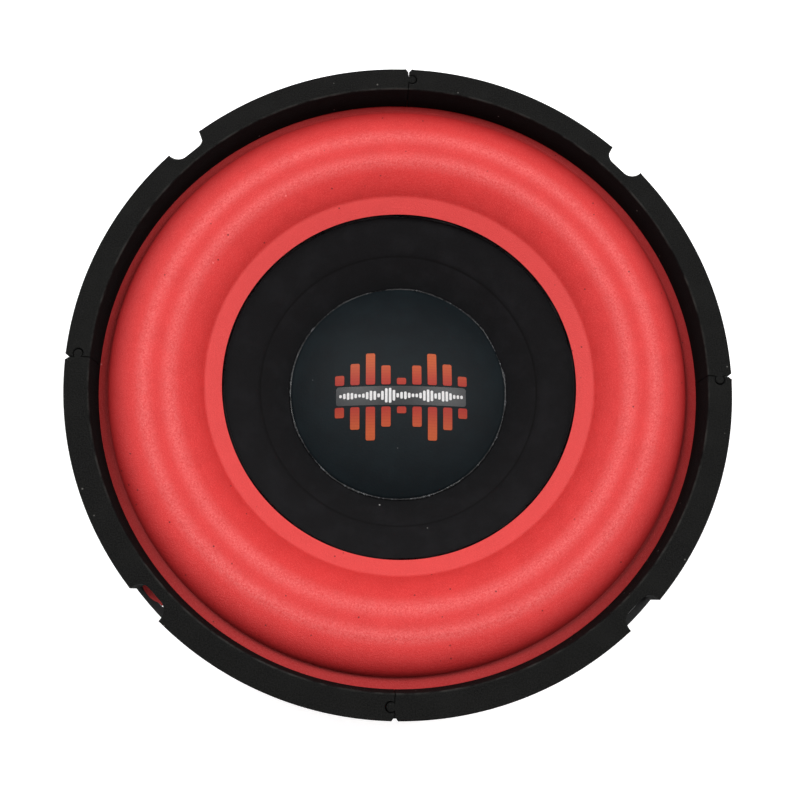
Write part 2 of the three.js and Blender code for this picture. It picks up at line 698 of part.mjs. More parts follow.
// A dot of adhesive over the soldered end, flat against the cone's underside.
function leadJoint(x) {
  const { r, tall } = JOINT_DOT;
  const crown = [at(0, -tall), at(r * 0.6, -tall * 0.85), at(r, -tall * 0.2)];
  const dot = lathed([...crown, at(r, 0), at(0, 0)], 12);
  const place = underCone(x, CONE_THICK + FIT);
  const azimuth = THREE.MathUtils.radToDeg(Math.atan2(place.y, place.x));
  const tilt = THREE.MathUtils.radToDeg(JOINT_SLOPE);
  return dot.rotate([0, -tilt, azimuth]).translate(place.toArray());
}

// Each lead rises from its contact, sags through the frame's window and climbs to the cone.
function leadRoute(x) {
  const eye = new THREE.Vector3(x, CONTACT_Y + CONTACT.thick / 2 + FIT, EYE_Z);
  const step = (y, z) => eye.clone().add(new THREE.Vector3(0, y, z));
  const dotFace = CONE_THICK + FIT + JOINT_DOT.tall + FIT;
  return [
    eye,
    step(4, 0.6),
    step(10, -0.2),
    step(16, -1),
    step(22, -0.4),
    underCone(x, dotFace + 6),
    underCone(x, dotFace + 0.3),
  ];
}

function tinselLead(x) {
  const path = new THREE.CatmullRomCurve3(leadRoute(x));
  const section = new THREE.Shape(arc(0, 0, LEAD_R, 0, 2 * Math.PI, 8).slice(0, -1));
  const along = { steps: 16, extrudePath: path, bevelEnabled: false };
  return solid(new THREE.ExtrudeGeometry(section, along));
}

function terminals() {
  const rivets = [-1, 1].map((sign, i) =>
    piece("terminal_rivet_" + (i + 1), terminalRivet(sign * RIVET_X), FINISH.plated),
  );
  const sides = SIDES.flatMap(({ name, x, material }) => [
    piece("push_button_" + name, pushButton(x), material),
    piece("button_spring_" + name, buttonSpring(x), FINISH.plated),
    piece("contact_strip_" + name, contactStrip(x), FINISH.brass),
    piece("tinsel_lead_" + name, tinselLead(x), FINISH.copper),
    piece("lead_joint_" + name, leadJoint(x), FINISH.black),
  ]);
  return [piece("terminal_block", terminalBlock(), FINISH.black), ...rivets, ...sides];
}

// ---------------------------------------------------------------- assembly
const fixed = new THREE.Group();
fixed.add(
  piece("basket", basket(), FINISH.steel),
  ...gasketSegments(),
  piece("t_yoke", tYoke(), FINISH.plated),
  piece("vent_screen", ventScreen(), FINISH.mesh),
  piece("magnet", magnet(), FINISH.ferrite),
  piece("top_plate", topPlate(), FINISH.plated),
  ...frameScrews(),
  ...terminals(),
);

const moving = new THREE.Group();
moving.add(
  piece("surround", surround(), FINISH.foam),
  piece("cone", cone(), FINISH.paper),
  piece("dust_cap", dustCap(), FINISH.cap),
  piece("emblem", emblem(), FINISH.print),
  piece("spider", spider(), FINISH.cloth),
  piece("voice_coil_former", former(), FINISH.film),
  piece("former_collar", collar(), FINISH.card),
  piece("voice_coil_winding", winding(), FINISH.copper),
);

const speaker = new THREE.Group();
speaker.add(fixed, moving);
export default speaker;
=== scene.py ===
"""A car subwoofer driver, face up on a pale floor.

Shapes are worked out in millimetres as whole arrays and stored in metres. +Z is the speaker's axis
and the origin is the centre of the back plate's rear face.
"""

import math

import bmesh
import bpy
import numpy as np
from mathutils import Matrix, Vector
from mathutils.geometry import delaunay_2d_cdt


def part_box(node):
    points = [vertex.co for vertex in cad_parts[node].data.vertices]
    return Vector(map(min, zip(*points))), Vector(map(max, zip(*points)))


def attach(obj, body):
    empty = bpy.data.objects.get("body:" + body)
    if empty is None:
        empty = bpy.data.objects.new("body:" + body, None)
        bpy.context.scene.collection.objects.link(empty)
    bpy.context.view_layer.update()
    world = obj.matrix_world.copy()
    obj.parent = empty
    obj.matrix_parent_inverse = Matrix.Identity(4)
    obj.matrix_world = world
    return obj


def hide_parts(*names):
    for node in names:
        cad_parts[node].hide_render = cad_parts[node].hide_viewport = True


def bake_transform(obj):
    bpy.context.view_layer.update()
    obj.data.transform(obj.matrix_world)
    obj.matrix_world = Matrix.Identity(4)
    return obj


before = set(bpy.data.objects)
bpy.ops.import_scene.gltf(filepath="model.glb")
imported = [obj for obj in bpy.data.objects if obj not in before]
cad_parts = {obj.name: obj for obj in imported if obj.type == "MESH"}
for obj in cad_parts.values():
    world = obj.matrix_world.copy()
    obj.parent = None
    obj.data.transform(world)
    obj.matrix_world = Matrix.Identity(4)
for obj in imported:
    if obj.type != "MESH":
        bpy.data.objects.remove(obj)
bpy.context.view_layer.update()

TAU = 2 * math.pi
MM = 0.001
QUARTERS = (0, 1, 2, 3)


def box(node):
    """A CAD node's lowest and highest corners, in millimetres."""
    low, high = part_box(node)
    return np.array(low) / MM, np.array(high) / MM


# ---------------------------------------------------------------- sizes, in millimetres
FIT = 0.3
STEEL = 1.4
FLANGE_R = box("basket")[1][0]
FLANGE_TOP = box("basket")[1][2]
GASKET_Z = box("gasket_segment_1")[0][2]
TOP_Z = box("gasket_segment_1")[1][2]
GASKET_R = FLANGE_R - 1.0
GASKET_INNER_R = GASKET_R - 9.5
NOTCH_FLOOR_R = GASKET_R - 5.25
NOTCH_HALF_FLOOR = 3.3
NOTCH_HALF_MOUTH = 7.9
TOP_EDGE, FOOT_EDGE = 0.5, 0.25
KNOB_R, KNOB_OFFSET, KNOB_NECK = 1.7, 1.5, 1.1
NICK_DEEP, NICK_WIDE = 1.3, 1.2

FOAM = 1.3
FOAM_TOP = GASKET_Z - FIT
FOAM_R = FLANGE_R - 3.6
CREASE_R = FOAM_R - 11.1
INNER_CREASE_R = CREASE_R - 36.5
INNER_CREASE_Z = FOAM_TOP - 2.5
FOAM_EDGE_R, FOAM_EDGE_Z = 72.5, box("surround")[0][2] + 1.05
RIDGES = (90.6, 100.6)
FOAM_SLOT_R = FLANGE_R - 8.8
FOAM_SLOT_HALF = 5.6
FOAM_SLOT_CORNER = 2.0
FOAM_SLOTS = np.radians([45.0, 135.0, 229.0, 315.0])
FLAP_ANGLE, FLAP_WIDE, FLAP_LONG = math.radians(223.2), math.radians(2.0), 1.4
RIDGE_HIGH, RIDGE_WIDE = 0.22, 1.4
SHOULDER_POWER = 2.7
ROLL_LEAN = 0.4

CONE_THICK = 1.2
CONE_LOW, CONE_HIGH = box("cone")
NECK_R = 26.45
LIP_Z = CONE_LOW[2]
NECK_Z = LIP_Z + 1.84
RIM = np.array([CONE_HIGH[0], CONE_HIGH[2]])
CONE_SWEEP = math.radians(16.8)
STEP_R, STEP_DEEP = 58.5, 0.22
GROOVE_DEEP, GROOVE_WIDE = 0.28, 0.4

CAP_R = box("dust_cap")[1][0]
CAP_TOP = box("dust_cap")[1][2]
CAP_RISE = 12.5
CAP_THICK = 0.8
BALL_R = (CAP_R**2 + CAP_RISE**2) / (2 * CAP_RISE)
EMBLEM_AT = (1.0, -4.5)
EMBLEM_TURN = math.radians(1.5)
EMBLEM_WIDE = 56.0
BAR_WIDE = 3.9
BAND_HALF = 4.0
BARS = (9, 14, 18.5, 13, 7.5, 13, 18.5, 14, 9)

POLE_R = 24.3
VENT_R = 10.0
GAP_R = 27.3
PLATE_R = 60.0
BACK_R = 58.0
MAGNET_R = 66.0
MAGNET_LOW, MAGNET_HIGH = box("magnet")
PLATE_LOW, PLATE_HIGH = box("top_plate")
YOKE_HIGH = box("t_yoke")[1]
FORMER_R = 25.25
WINDING_LOW, WINDING_HIGH = box("voice_coil_winding")
COLLAR_LOW, COLLAR_HIGH = box("former_collar")
FORMER_LOW, FORMER_HIGH = box("voice_coil_former")

SEAT_TOP = PLATE_HIGH[2] + FIT + STEEL
LANDING_Z = SEAT_TOP + 18.7
LANDING_R = 70.0
SHOULDER_R = 57.5
SPIDER_Z = LANDING_Z + FIT
SPIDER_THICK = 0.9
SPIDER_R = LANDING_R - 0.8
SPIDER_BEND_R = NECK_R + 3.4
LEG_HALF_ANGLE = math.radians(13)
SCREW_CIRCLE = 42.0
SCREW_HOLE_R, SCREW_HOLE_DEEP = 2.8, 6.3
SLOT_CIRCLE = FLANGE_R - 5.9
SLOT_LONG, SLOT_WIDE = 10.5, 6.2
LIP_DEEP, LIP_WIDE = 1.0, 4.0
RIB_HIGH = 2.0

TAB_EDGE = LANDING_R + 21
BLOCK_LOW, BLOCK_HIGH = box("terminal_block")
BLOCK_Y = (BLOCK_LOW[1] + BLOCK_HIGH[1]) / 2
CONTACT_Y = BLOCK_HIGH[1] - 2.2
CONTACT_TOP = box("contact_strip_positive")[1][2]
EYE_Z = CONTACT_TOP - 2.5
EYE_R = 1.1
RIVET_X, RIVET_HOLE_R = 16.5, 1.9
WIRE_HOLE_R, WIRE_HOLE_DEEP = 1.6, 4.4
WELL_R = 4.2
WELL_TOP = BLOCK_HIGH[2] - 8.0
LEAD_R = 1.1
JOINT_R, JOINT_WIDE, JOINT_HIGH = 42.0, 3.2, 2.5
SIDES = {"positive": -8.0, "negative": 8.0}


# ---------------------------------------------------------------- lines and outlines
def points(*pairs):
    """Rows of numbers as an array."""
    return np.array(pairs, float)


def arc(cx, cy, r, a0, a1, steps):
    """Points (cx + r cos a, cy + r sin a) for a from a0 to a1, ends included."""
    a = np.linspace(a0, a1, steps + 1)
    return np.stack([cx + r * np.cos(a), cy + r * np.sin(a)], -1)


def around(steps):
    """Angles once round, evenly spaced."""
    return TAU * np.arange(steps) / steps


def polar(r, angle, z, at=(0, 0)):
    """Points (r cos a, r sin a, z) about an upright axis."""
    r, angle, z = np.broadcast_arrays(r, angle, z)
    return np.stack([at[0] + r * np.cos(angle), at[1] + r * np.sin(angle), z], -1)


def lengths(line):
    """Length along a line up to each of its points."""
    return np.concatenate([[0], np.cumsum(np.linalg.norm(np.diff(line, axis=0), axis=1))])


def joined(*lines):
    """Lines and single points end to end."""
    return np.concatenate([np.atleast_2d(line) for line in lines])


def turned(line, angle):
    """A plan line turned about the origin."""
    c, s = math.cos(angle), math.sin(angle)
    return line @ np.array([[c, s], [-s, c]])


def bowed(start, end, turn, steps):
    """The arc between two points that turns through an angle, bulging to the left of its path."""
    start, end = np.asarray(start, float), np.asarray(end, float)
    chord = end - start
    length = np.hypot(*chord)
    r = length / (2 * math.sin(turn / 2))
    left = np.array([-chord[1], chord[0]]) / length
    centre = (start + end) / 2 - left * r * math.cos(turn / 2)
    a0 = math.atan2(*(start - centre)[::-1])
    return arc(*centre, r, a0, a0 - turn, steps)


def rounded_line(corners, radii, steps=5, closed=True):
    """A line whose corners are arcs of given radii, each touching the two sides it joins."""
    corners = np.asarray(corners, float)
    radii = np.broadcast_to(radii, len(corners))
    out = []
    for i, (p, r) in enumerate(zip(corners, radii)):
        if r == 0 or (not closed and i in (0, len(corners) - 1)):
            out.append(p[None])
            continue
        a = corners[i - 1] - p
        b = corners[(i + 1) % len(corners)] - p
        la, lb = np.hypot(*a), np.hypot(*b)
        a, b = a / la, b / lb
        half = math.acos(np.clip(a @ b, -1, 1)) / 2
        cut = min(r / math.tan(half), 0.49 * la, 0.49 * lb)
        r = cut * math.tan(half)
        centre = p + (a + b) / np.hypot(*(a + b)) * r / math.sin(half)
        a0 = math.atan2(*(p + a * cut - centre)[::-1])
        a1 = math.atan2(*(p + b * cut - centre)[::-1])
        sweep = (a1 - a0 + math.pi) % TAU - math.pi
        out.append(arc(*centre, r, a0, a0 + sweep, steps))
    return np.concatenate(out)


def oblong(wide, deep, r, steps=6, at=(0, 0)):
    """A rectangle with rounded corners, anticlockwise."""
    hx, hy = wide / 2, deep / 2
    corners = points((hx, hy), (-hx, hy), (-hx, -hy), (hx, -hy))
    return rounded_line(corners, r, steps) + np.array(at)


def circle(r, steps, at=(0, 0)):
    """A round outline, anticlockwise."""
    return arc(*at, r, 0, TAU, steps)[:-1]


def rivet_holes():
    """The terminal rivets' holes in plan."""
    return [circle(RIVET_HOLE_R, 20, (sign * RIVET_X, BLOCK_Y)) for sign in (-1, 1)]


def screw_place(i):
    """The middle of frame screw i in plan."""
    return turned(points((SCREW_CIRCLE, 0)), math.pi / 4 + i * math.pi / 2)[0]


def normals(line, closed):
    """The left-hand normal at each point: the mean of the normals of the sides that meet there."""
    if closed:
        along = np.roll(line, -1, 0) - np.roll(line, 1, 0)
    else:
        along = np.gradient(line, axis=0)
    along = along / np.maximum(np.hypot(*along.T)[:, None], 1e-9)
    return np.stack([-along[:, 1], along[:, 0]], -1)


def resampled(line, step):
    """The line with points added so that none of its sides is longer than step."""
    gaps = np.hypot(*np.diff(line, axis=0).T)
    counts = np.maximum(np.ceil(gaps / step).astype(int), 1)
    starts = np.repeat(line[:-1], counts, axis=0)
    moves = np.repeat(np.diff(line, axis=0), counts, axis=0)
    first = np.repeat(np.cumsum(counts) - counts, counts)
    share = (np.arange(counts.sum()) - first) / np.repeat(counts, counts)
    return np.concatenate([starts + moves * share[:, None], line[-1:]])


def refined(loop, step):
    """resampled, for a closed loop."""
    return resampled(np.concatenate([loop, loop[:1]]), step)[:-1]


def band(line, thick):
    """The closed section of a sheet that lies to the right of an open line."""
    return np.concatenate([line, (line - normals(line, False) * thick)[::-1]])


def ease(t):
    """Smooth step from 0 to 1: 3 t^2 - 2 t^3 on t held between 0 and 1."""
    t = np.clip(t, 0, 1)
    return t * t * (3 - 2 * t)


def ripple(angle, seed, low=3, high=40, count=14):
    """A smooth irregular wave round the axis, about -1 to 1: a sum of sines of whole frequencies."""
    rng = np.random.default_rng(seed)
    waves = rng.integers(low, high, count)
    phases = rng.uniform(0, TAU, count)
    sizes = rng.uniform(0.3, 1, count)
    total = (np.sin(np.multiply.outer(angle, waves) + phases) * sizes).sum(-1)
    return total / math.sqrt((sizes**2).sum() * 2)


# ---------------------------------------------------------------- surfaces
def grid(shape, wrap=(True, True)):
    """Corner numbers of the quads of a grid; wrap says which directions close on themselves."""
    nu, nv = shape
    u = np.arange(nu - (not wrap[0]))[:, None]
    v = np.arange(nv - (not wrap[1]))[None, :]
    u1, v1 = (u + 1) % nu, (v + 1) % nv
    corners = np.stack([u * nv + v, u1 * nv + v, u1 * nv + v1, u * nv + v1], -1)
    return corners.reshape(-1, 4)


def surface(xyz, wrap=(True, True)):
    """A part from an array of points on a grid."""
    return xyz.reshape(-1, 3), [grid(xyz.shape[:2], wrap)]


def spun(profile, steps=192, closed=True, at=(0, 0)):
    """A profile of (radius, height) turned round an upright axis."""
    r, z = profile.T
    return surface(polar(r, around(steps)[:, None], z, at), (True, closed))


def sleeve(inner, outer, low, high, edge=0.15, bend=3, steps=160):
    """A plain tube's wall with its four edges rounded."""
    section = points((inner, low), (outer, low), (outer, high), (inner, high))
    return spun(rounded_line(section, edge, bend), steps)


def inside(spots, loop):
    """Even-odd rule: a line to the right of each spot crosses the loop an odd number of times."""
    x, y = spots[:, :1], spots[:, 1:]
    x0, y0 = loop.T
    x1, y1 = np.roll(loop, -1, 0).T
    rise = np.where(y1 == y0, 1e-12, y1 - y0)
    crossed = ((y0 > y) != (y1 > y)) & (x < x0 + (y - y0) * (x1 - x0) / rise)
    return crossed.sum(1) % 2 == 1


def plate(outline, holes=(), step=2.0):
    """A flat mesh of an outline with holes: a triangular lattice joined to the loops' own points."""
    low, high = outline.min(0), outline.max(0)
    columns = np.arange(low[0] + step / 3, high[0], step)
    rows = np.arange(low[1] + step / 3, high[1], step * 0.866)
    lattice = np.stack(np.meshgrid(columns, rows), -1)
    lattice[1::2, :, 0] += step / 2
    lattice = lattice.reshape(-1, 2)
    keep = inside(lattice, outline)
    for hole in holes:
        keep &= ~inside(lattice, hole)
    lattice = lattice[keep]
    border = np.concatenate([outline, *holes])
    if len(lattice):
        gap = np.min([np.hypot(*(lattice - p).T) for p in border], axis=0)
        lattice = lattice[gap > 0.62 * step]
    edges, first = [], 0
    for loop in (outline, *holes):
        number = np.arange(len(loop))
        edges += (first + np.stack([number, (number + 1) % len(loop)], -1)).tolist()
        first += len(loop)
    spots = [Vector(p) for p in np.concatenate([border, lattice])]
    made, _, faces, *_ = delaunay_2d_cdt(spots, edges, [], 0, 1e-7)
    made = np.array([tuple(p) for p in made])
    faces = np.array(faces)
    middle = made[faces].mean(1)
    keep = inside(middle, outline)
    for hole in holes:
        keep &= ~inside(middle, hole)
    return made, faces[keep]


def lifted(flat, z):
    """Plan points raised to a height."""
    return np.column_stack([flat, np.broadcast_to(z, len(flat))])


def welded(xyz, faces):
    """Points that coincide made one, so that sheets laid edge to edge join."""
    _, first, number = np.unique(np.round(xyz, 4), axis=0, return_index=True, return_inverse=True)
    return xyz[first], number.reshape(-1)[faces], first


def thickened(top, low, triangles):
    """A closed shell: triangles above, the same turned over below, and a wall on each open edge."""
    edges = np.concatenate([triangles[:, [0, 1]], triangles[:, [1, 2]], triangles[:, [2, 0]]])
    _, first, count = np.unique(np.sort(edges, 1), axis=0, return_index=True, return_counts=True)
    a, b = edges[first[count == 1]].T
    n = len(top)
    wall = np.stack([b, a, a + n, b + n], -1)
    return np.concatenate([top, low]), [triangles, triangles[:, ::-1] + n, wall]


def slab(outline, holes, z0, z1, step=2.0):
    """A flat plate of even thickness with holes."""
    flat, triangles = plate(outline, holes, step)
    return thickened(lifted(flat, z1), lifted(flat, z0), triangles)


def clearance(outline, reach):
    """0.12 at a sharp corner of an outline, rising to 1 at a distance reach from the nearest one."""
    ahead = np.roll(outline, -1, 0) - outline
    behind = np.roll(ahead, 1, 0)
    cross = ahead[:, 0] * behind[:, 1] - ahead[:, 1] * behind[:, 0]
    sharp = outline[np.abs(np.arctan2(cross, (ahead * behind).sum(1))) > 0.6]
    if not len(sharp):
        return np.ones((len(outline), 1))
    gap = np.linalg.norm(outline[:, None] - sharp[None], axis=-1).min(1)
    return np.clip(gap / reach, 0.12, 1)[:, None]


def lofted(outline, levels, step):
    """An outline raised through levels of (height, inset), with flat ends.

    The inset shrinks towards the outline's sharp corners, so that the rings never cross themselves.
    """
    inward = normals(outline, True) * clearance(outline, 1.6)
    rings = [outline + inward * depth for _, depth in levels]
    side = np.stack([lifted(ring, z) for ring, (z, _) in zip(rings, levels)])
    parts = [surface(side, (False, True))]
    for ring, (z, _) in ((rings[0], levels[0]), (rings[-1], levels[-1])):
        flat, triangles = plate(ring, (), step)
        parts.append((lifted(flat, z), [triangles]))
    return parts


def tube(path, radius, sides=10, across=(0, 0, 1)):
    """A round bar along a path, closed at both ends. radius may vary by point and by side."""
    path = np.asarray(path, float)
    along = np.gradient(path, axis=0)
    along /= np.linalg.norm(along, axis=1)[:, None]
    side = np.cross(along, np.array(across, float))
    side /= np.linalg.norm(side, axis=1)[:, None]
    other = np.cross(along, side)
    a = around(sides)
    radius = np.broadcast_to(radius, (len(path), sides))[..., None]
    ring = side[:, None] * np.cos(a)[None, :, None] + other[:, None] * np.sin(a)[None, :, None]
    body = path[:, None] + ring * radius
    ends = [np.repeat(path[i][None, None], sides, 1) for i in (0, -1)]
    return surface(np.concatenate([ends[0], body, ends[1]]), (False, True))


def moved(part, move=(0, 0, 0), turn=0.0):
    """A part turned about Z, then moved."""
    xyz, faces = part
    c, s = math.cos(turn), math.sin(turn)
    rotation = np.array([[c, s, 0], [-s, c, 0], [0, 0, 1]])
    return xyz @ rotation + np.array(move), faces


def built(name, parts, finish, slot, crease=32, weld=0.002):
    """One object from parts in millimetres: welded, its faces turned outward, and shaded smooth."""
    corners = np.concatenate([xyz for xyz, _ in parts]) * MM
    faces, first = [], 0
    for xyz, groups in parts:
        for group in groups:
            faces += (np.asarray(group) + first).tolist()
        first += len(xyz)
    mesh = bpy.data.meshes.new(name)
    mesh.from_pydata(corners.tolist(), [], faces)
    work = bmesh.new()
    work.from_mesh(mesh)
    bmesh.ops.remove_doubles(work, verts=work.verts, dist=weld * MM)
    bmesh.ops.recalc_face_normals(work, faces=work.faces)
    work.to_mesh(mesh)
    work.free()
    mesh.shade_smooth()
    mesh.set_sharp_from_angle(angle=math.radians(crease))
    mesh.materials.append(finish)
    piece = bpy.data.objects.new(name, mesh)
    bpy.context.scene.collection.objects.link(piece)
    return piece


def ridden(name, parts, finish, slot, body, *nodes, **how):
    """A piece that rides on a body and stands for the CAD nodes named."""
    piece = built(name, parts, finish, slot, **how)
    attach(piece, body)
    if nodes:
        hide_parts(*nodes)
    return piece


def softened(piece, width):
    """Rounds the piece's sharp edges."""
    bevel = piece.modifiers.new("edges", "BEVEL")
    bevel.width = width * MM
    bevel.segments = 2
    bevel.limit_method = "ANGLE"
    bevel.angle_limit = math.radians(50)


def flexing(piece, outer, inner):
    """Bakes the ring's placement into its mesh and weighs its points by radius, 0 outside outer and 1
    inside inner; the weights are not used.
    """
    outer * MM
    inner * MM
    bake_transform(piece)
    spots = np.zeros(len(piece.data.vertices) * 3, np.float32)
    piece.data.vertices.foreach_get("co", spots)
    r = np.hypot(*spots.reshape(-1, 3)[:, :2].T) / MM
    weight = ease((outer - r) / (outer - inner)).astype(np.float32)


# ---------------------------------------------------------------- shader values
def rgb(red, green, blue):
    """A display colour from 0 to 255 as the shader's linear colour."""
    c = np.array([red, green, blue]) / 255
    c = np.where(c <= 0.04045, c / 12.92, ((c + 0.055) / 1.055) ** 2.4)
    return (*c.tolist(), 1.0)


class Value:
    """A shader's output socket. Arithmetic on it adds Math nodes."""

    def __init__(self, finish, socket):
        self.finish = finish
        self.socket = socket

    def math(self, operation, *others):
        return self.finish.node("Math", {"operation": operation}, dict(enumerate((self, *others))))

    def __add__(self, other):
        return self.math("ADD", other)

    def __sub__(self, other):
        return self.math("SUBTRACT", other)

    def __rsub__(self, other):
        return self.finish.node("Math", {"operation": "SUBTRACT"}, {0: other, 1: self})

    def __mul__(self, other):
        return self.math("MULTIPLY", other)

    def __pow__(self, other):
        return self.math("POWER", other)

    __radd__ = __add__
    __rmul__ = __mul__

    def sin(self):
        return self.math("SINE")

    def abs(self):
        return self.math("ABSOLUTE")

    def most(self, other):
        return self.math("MAXIMUM", other)

    def ramp(self, low, high):
        """0 at low and 1 at high, with a smooth step between them."""
        kind = {"interpolation_type": "SMOOTHSTEP"}
        return self.finish.node("MapRange", kind, {"Value": self, "From Min": low, "From Max": high})


class Finish:
    """A material round one Principled shader. Lengths are in millimetres on Object coordinates."""

    def __init__(self, name, **fixed):
        self.material = bpy.data.materials.new(name)
        self.material.use_nodes = True
        self.tree = self.material.node_tree
        self.tree.nodes.clear()
        self.shader = self.tree.nodes.new("ShaderNodeBsdfPrincipled")
        output = self.tree.nodes.new("ShaderNodeOutputMaterial")
        self.tree.links.new(self.shader.outputs["BSDF"], output.inputs["Surface"])
        for key, value in fixed.items():
            self.shader.inputs[key.replace("_", " ")].default_value = value
        coordinates = self.node("TexCoord", out="Object")
        self.spot = self.node("VectorMath", {"operation": "SCALE"}, {0: coordinates, "Scale": 1 / MM})
        self.x, self.y, self.z = (self.node("SeparateXYZ", {}, {0: self.spot}, axis) for axis in "XYZ")
        self.r = (self.x * self.x + self.y * self.y) ** 0.5
        self.angle = self.y.math("ARCTAN2", self.x)

    def node(self, kind, settings=None, values=None, out=0):
        """Any node: its settings first, then its sockets' numbers or links. Gives one output."""
        made = self.tree.nodes.new("ShaderNode" + kind)
        for key, value in (settings or {}).items():
            setattr(made, key, value)
        for key, value in (values or {}).items():
            self.feed(made.inputs[key], value)
        return Value(self, made.outputs[out])

    def feed(self, socket, value):
        if isinstance(value, Value):
            self.tree.links.new(value.socket, socket)
        else:
            socket.default_value = value

    def noise(self, size, detail=2.0, rough=0.55, stretch=(1, 1, 1)):
        """Cloudy noise from 0 to 1 whose largest lumps are about size millimetres."""
        spot = self.spot
        if stretch != (1, 1, 1):
            spot = self.node("VectorMath", {"operation": "MULTIPLY"}, {0: spot, 1: stretch})
        values = {"Vector": spot, "Scale": 1 / size, "Detail": detail, "Roughness": rough}
        return self.node("TexNoise", {}, values, "Fac")

    def cells(self, size, out="Distance"):
        """Distance to the nearest of scattered points about size millimetres apart."""
        return self.node("TexVoronoi", {}, {"Vector": self.spot, "Scale": 1 / size}, out)

    def specks(self, size, share, radius=0.3):
        """A mask of scattered specks: a share of the cells carries one, radius of a cell wide."""
        picked = self.cells(size, out="Color")
        chosen = self.node("SeparateColor", {}, {0: picked}, "Red").ramp(1 - share, 1 - share * 0.9)
        return chosen * (1 - self.cells(size).ramp(radius * 0.5, radius))

    def mix(self, factor, first, second):
        """A colour between two colours."""
        return self.node("Mix", {"data_type": "RGBA"}, {0: factor, 6: first, 7: second}, 2)

    def done(self, colour, rough, height, depth, strength):
        """The material, with its colour, its roughness and a bump of height times depth millimetres."""
        values = {"Height": height, "Distance": depth * MM, "Strength": strength}
        normal = self.node("Bump", {}, values, "Normal")
        for name, value in (("Base Color", colour), ("Roughness", rough), ("Normal", normal)):
            self.feed(self.shader.inputs[name], value)
        return self.material


# ---------------------------------------------------------------- finishes
def gasket_finish():
    """Dense black closed-cell foam: fine grain, fluff, a paler worn line on the inner top edge, and
    painted shade on the inner wall.
    """
    f = Finish("gasket foam", Specular_IOR_Level=0.1)
    grain = f.noise(0.5, 4, 0.7)
    cloud = f.noise(14, 3)
    base = f.mix(grain.ramp(0.3, 0.72), rgb(5, 5, 5), rgb(32, 32, 31))
    base = f.mix(cloud.ramp(0.4, 0.75) * 0.3, base, rgb(30, 30, 29))
    edge = 1 - f.r.ramp(GASKET_INNER_R + 0.15, GASKET_INNER_R + 0.9)
    # painted shade: the upright inner wall is darkened as if it were out of the light
    wall = 1 - f.r.ramp(GASKET_INNER_R + 0.1, GASKET_INNER_R + 0.5)
    base = f.mix(wall * 0.8, base, rgb(7, 6, 7))
    worn = edge * f.z.ramp(TOP_Z - 0.9, TOP_Z - 0.25) * f.noise(9, 4, 0.7).ramp(0.35, 0.7)
    base = f.mix(worn * 0.3, base, rgb(84, 83, 80))
    fluff = f.specks(2.6, 0.05, 0.16)
    base = f.mix(fluff * 0.6, base, rgb(120, 118, 114))
    return f.done(base, 0.82 + grain * 0.16, grain + f.noise(1.6, 3) * 0.8, 0.22, 0.8)


def foam_finish():
    """Red moulded foam: open pores, grain, dark specks, painted highlights along the mould ridges,
    painted light on the lap, and painted shade in the outer crease and on the flange.
    """
    f = Finish("surround foam", Specular_IOR_Level=0.34)
    pores = f.cells(0.5)
    skin = f.noise(0.38, 4, 0.8)
    grit = f.noise(0.75, 4, 0.85)
    cloud = f.noise(8, 3, 0.5)
    base = f.mix(cloud.ramp(0.3, 0.72), rgb(206, 42, 41), rgb(213, 46, 45))
    base = f.mix(skin.ramp(0.45, 0.66) * 0.5, base, rgb(240, 90, 88))
    base = f.mix((1 - pores.ramp(0.05, 0.32)) * 0.28, base, rgb(168, 24, 28))
    # painted highlight: each mould ridge gets a paler ring of colour, broken up by grit
    uneven = grit.ramp(0.3, 0.68) * (0.55 + 0.45 * f.noise(40, 2))
    for ridge in RIDGES:
        ridge_highlight = 1 - (f.r - ridge).abs().ramp(0.0, 4.6)
        base = f.mix(ridge_highlight * uneven * 0.6, base, rgb(250, 132, 130))
    # painted light: the lap is made paler where it faces the lamps
    lap = 1 - f.r.ramp(INNER_CREASE_R - 0.6, INNER_CREASE_R + 0.4)
    base = f.mix(lap * 0.45, base, rgb(234, 86, 84))
    # painted shade: darker down the roll's outer slope into the crease, and still darkened on the flange
    # beyond it
    crease = f.r.ramp(CREASE_R - 12.0, CREASE_R + 0.2) - 0.4 * f.r.ramp(CREASE_R + 0.3, CREASE_R + 1.4)
    base = f.mix(crease * 0.6, base, rgb(128, 14, 20))
    specks = f.specks(3.4, 0.16, 0.13)
    base = f.mix(specks * 0.8, base, rgb(70, 14, 16))
    lint = f.specks(7.0, 0.1, 0.07)
    base = f.mix(lint * 0.5, base, rgb(246, 138, 136))
    return f.done(base, 0.44 + skin * 0.2, skin + pores * 0.5 + grit, 0.17, 0.8)


def paper_finish():
    """Black pressed pulp: matted fibres pressed into the skin, painted shade along the step, and a few
    specks of dust.
    """
    f = Finish("cone paper", Specular_IOR_Level=0.2)
    fibre_a = f.noise(0.5, 3, 0.6, (1, 5, 1))
    fibre_b = f.noise(0.5, 3, 0.6, (5, 1, 1))
    felt = fibre_a.most(fibre_b)
    cloud = f.noise(11, 4, 0.6)
    base = f.mix(felt.ramp(0.42, 0.8), rgb(10, 10, 12), rgb(24, 24, 26))
    base = f.mix(cloud.ramp(0.42, 0.72) * 0.35, base, rgb(30, 30, 33))
    # painted shade: a dark line along the groove at the step
    line = 1 - (f.r - STEP_R).abs().ramp(0.15, 0.55)
    base = f.mix(line * 0.85, base, rgb(7, 7, 8))
    dust = f.specks(6.5, 0.09, 0.065)
    base = f.mix(dust * 0.85, base, rgb(190, 190, 188))
    return f.done(base, 0.74 + felt * 0.2, felt + f.noise(2.4, 3) * 0.7, 0.2, 0.75)


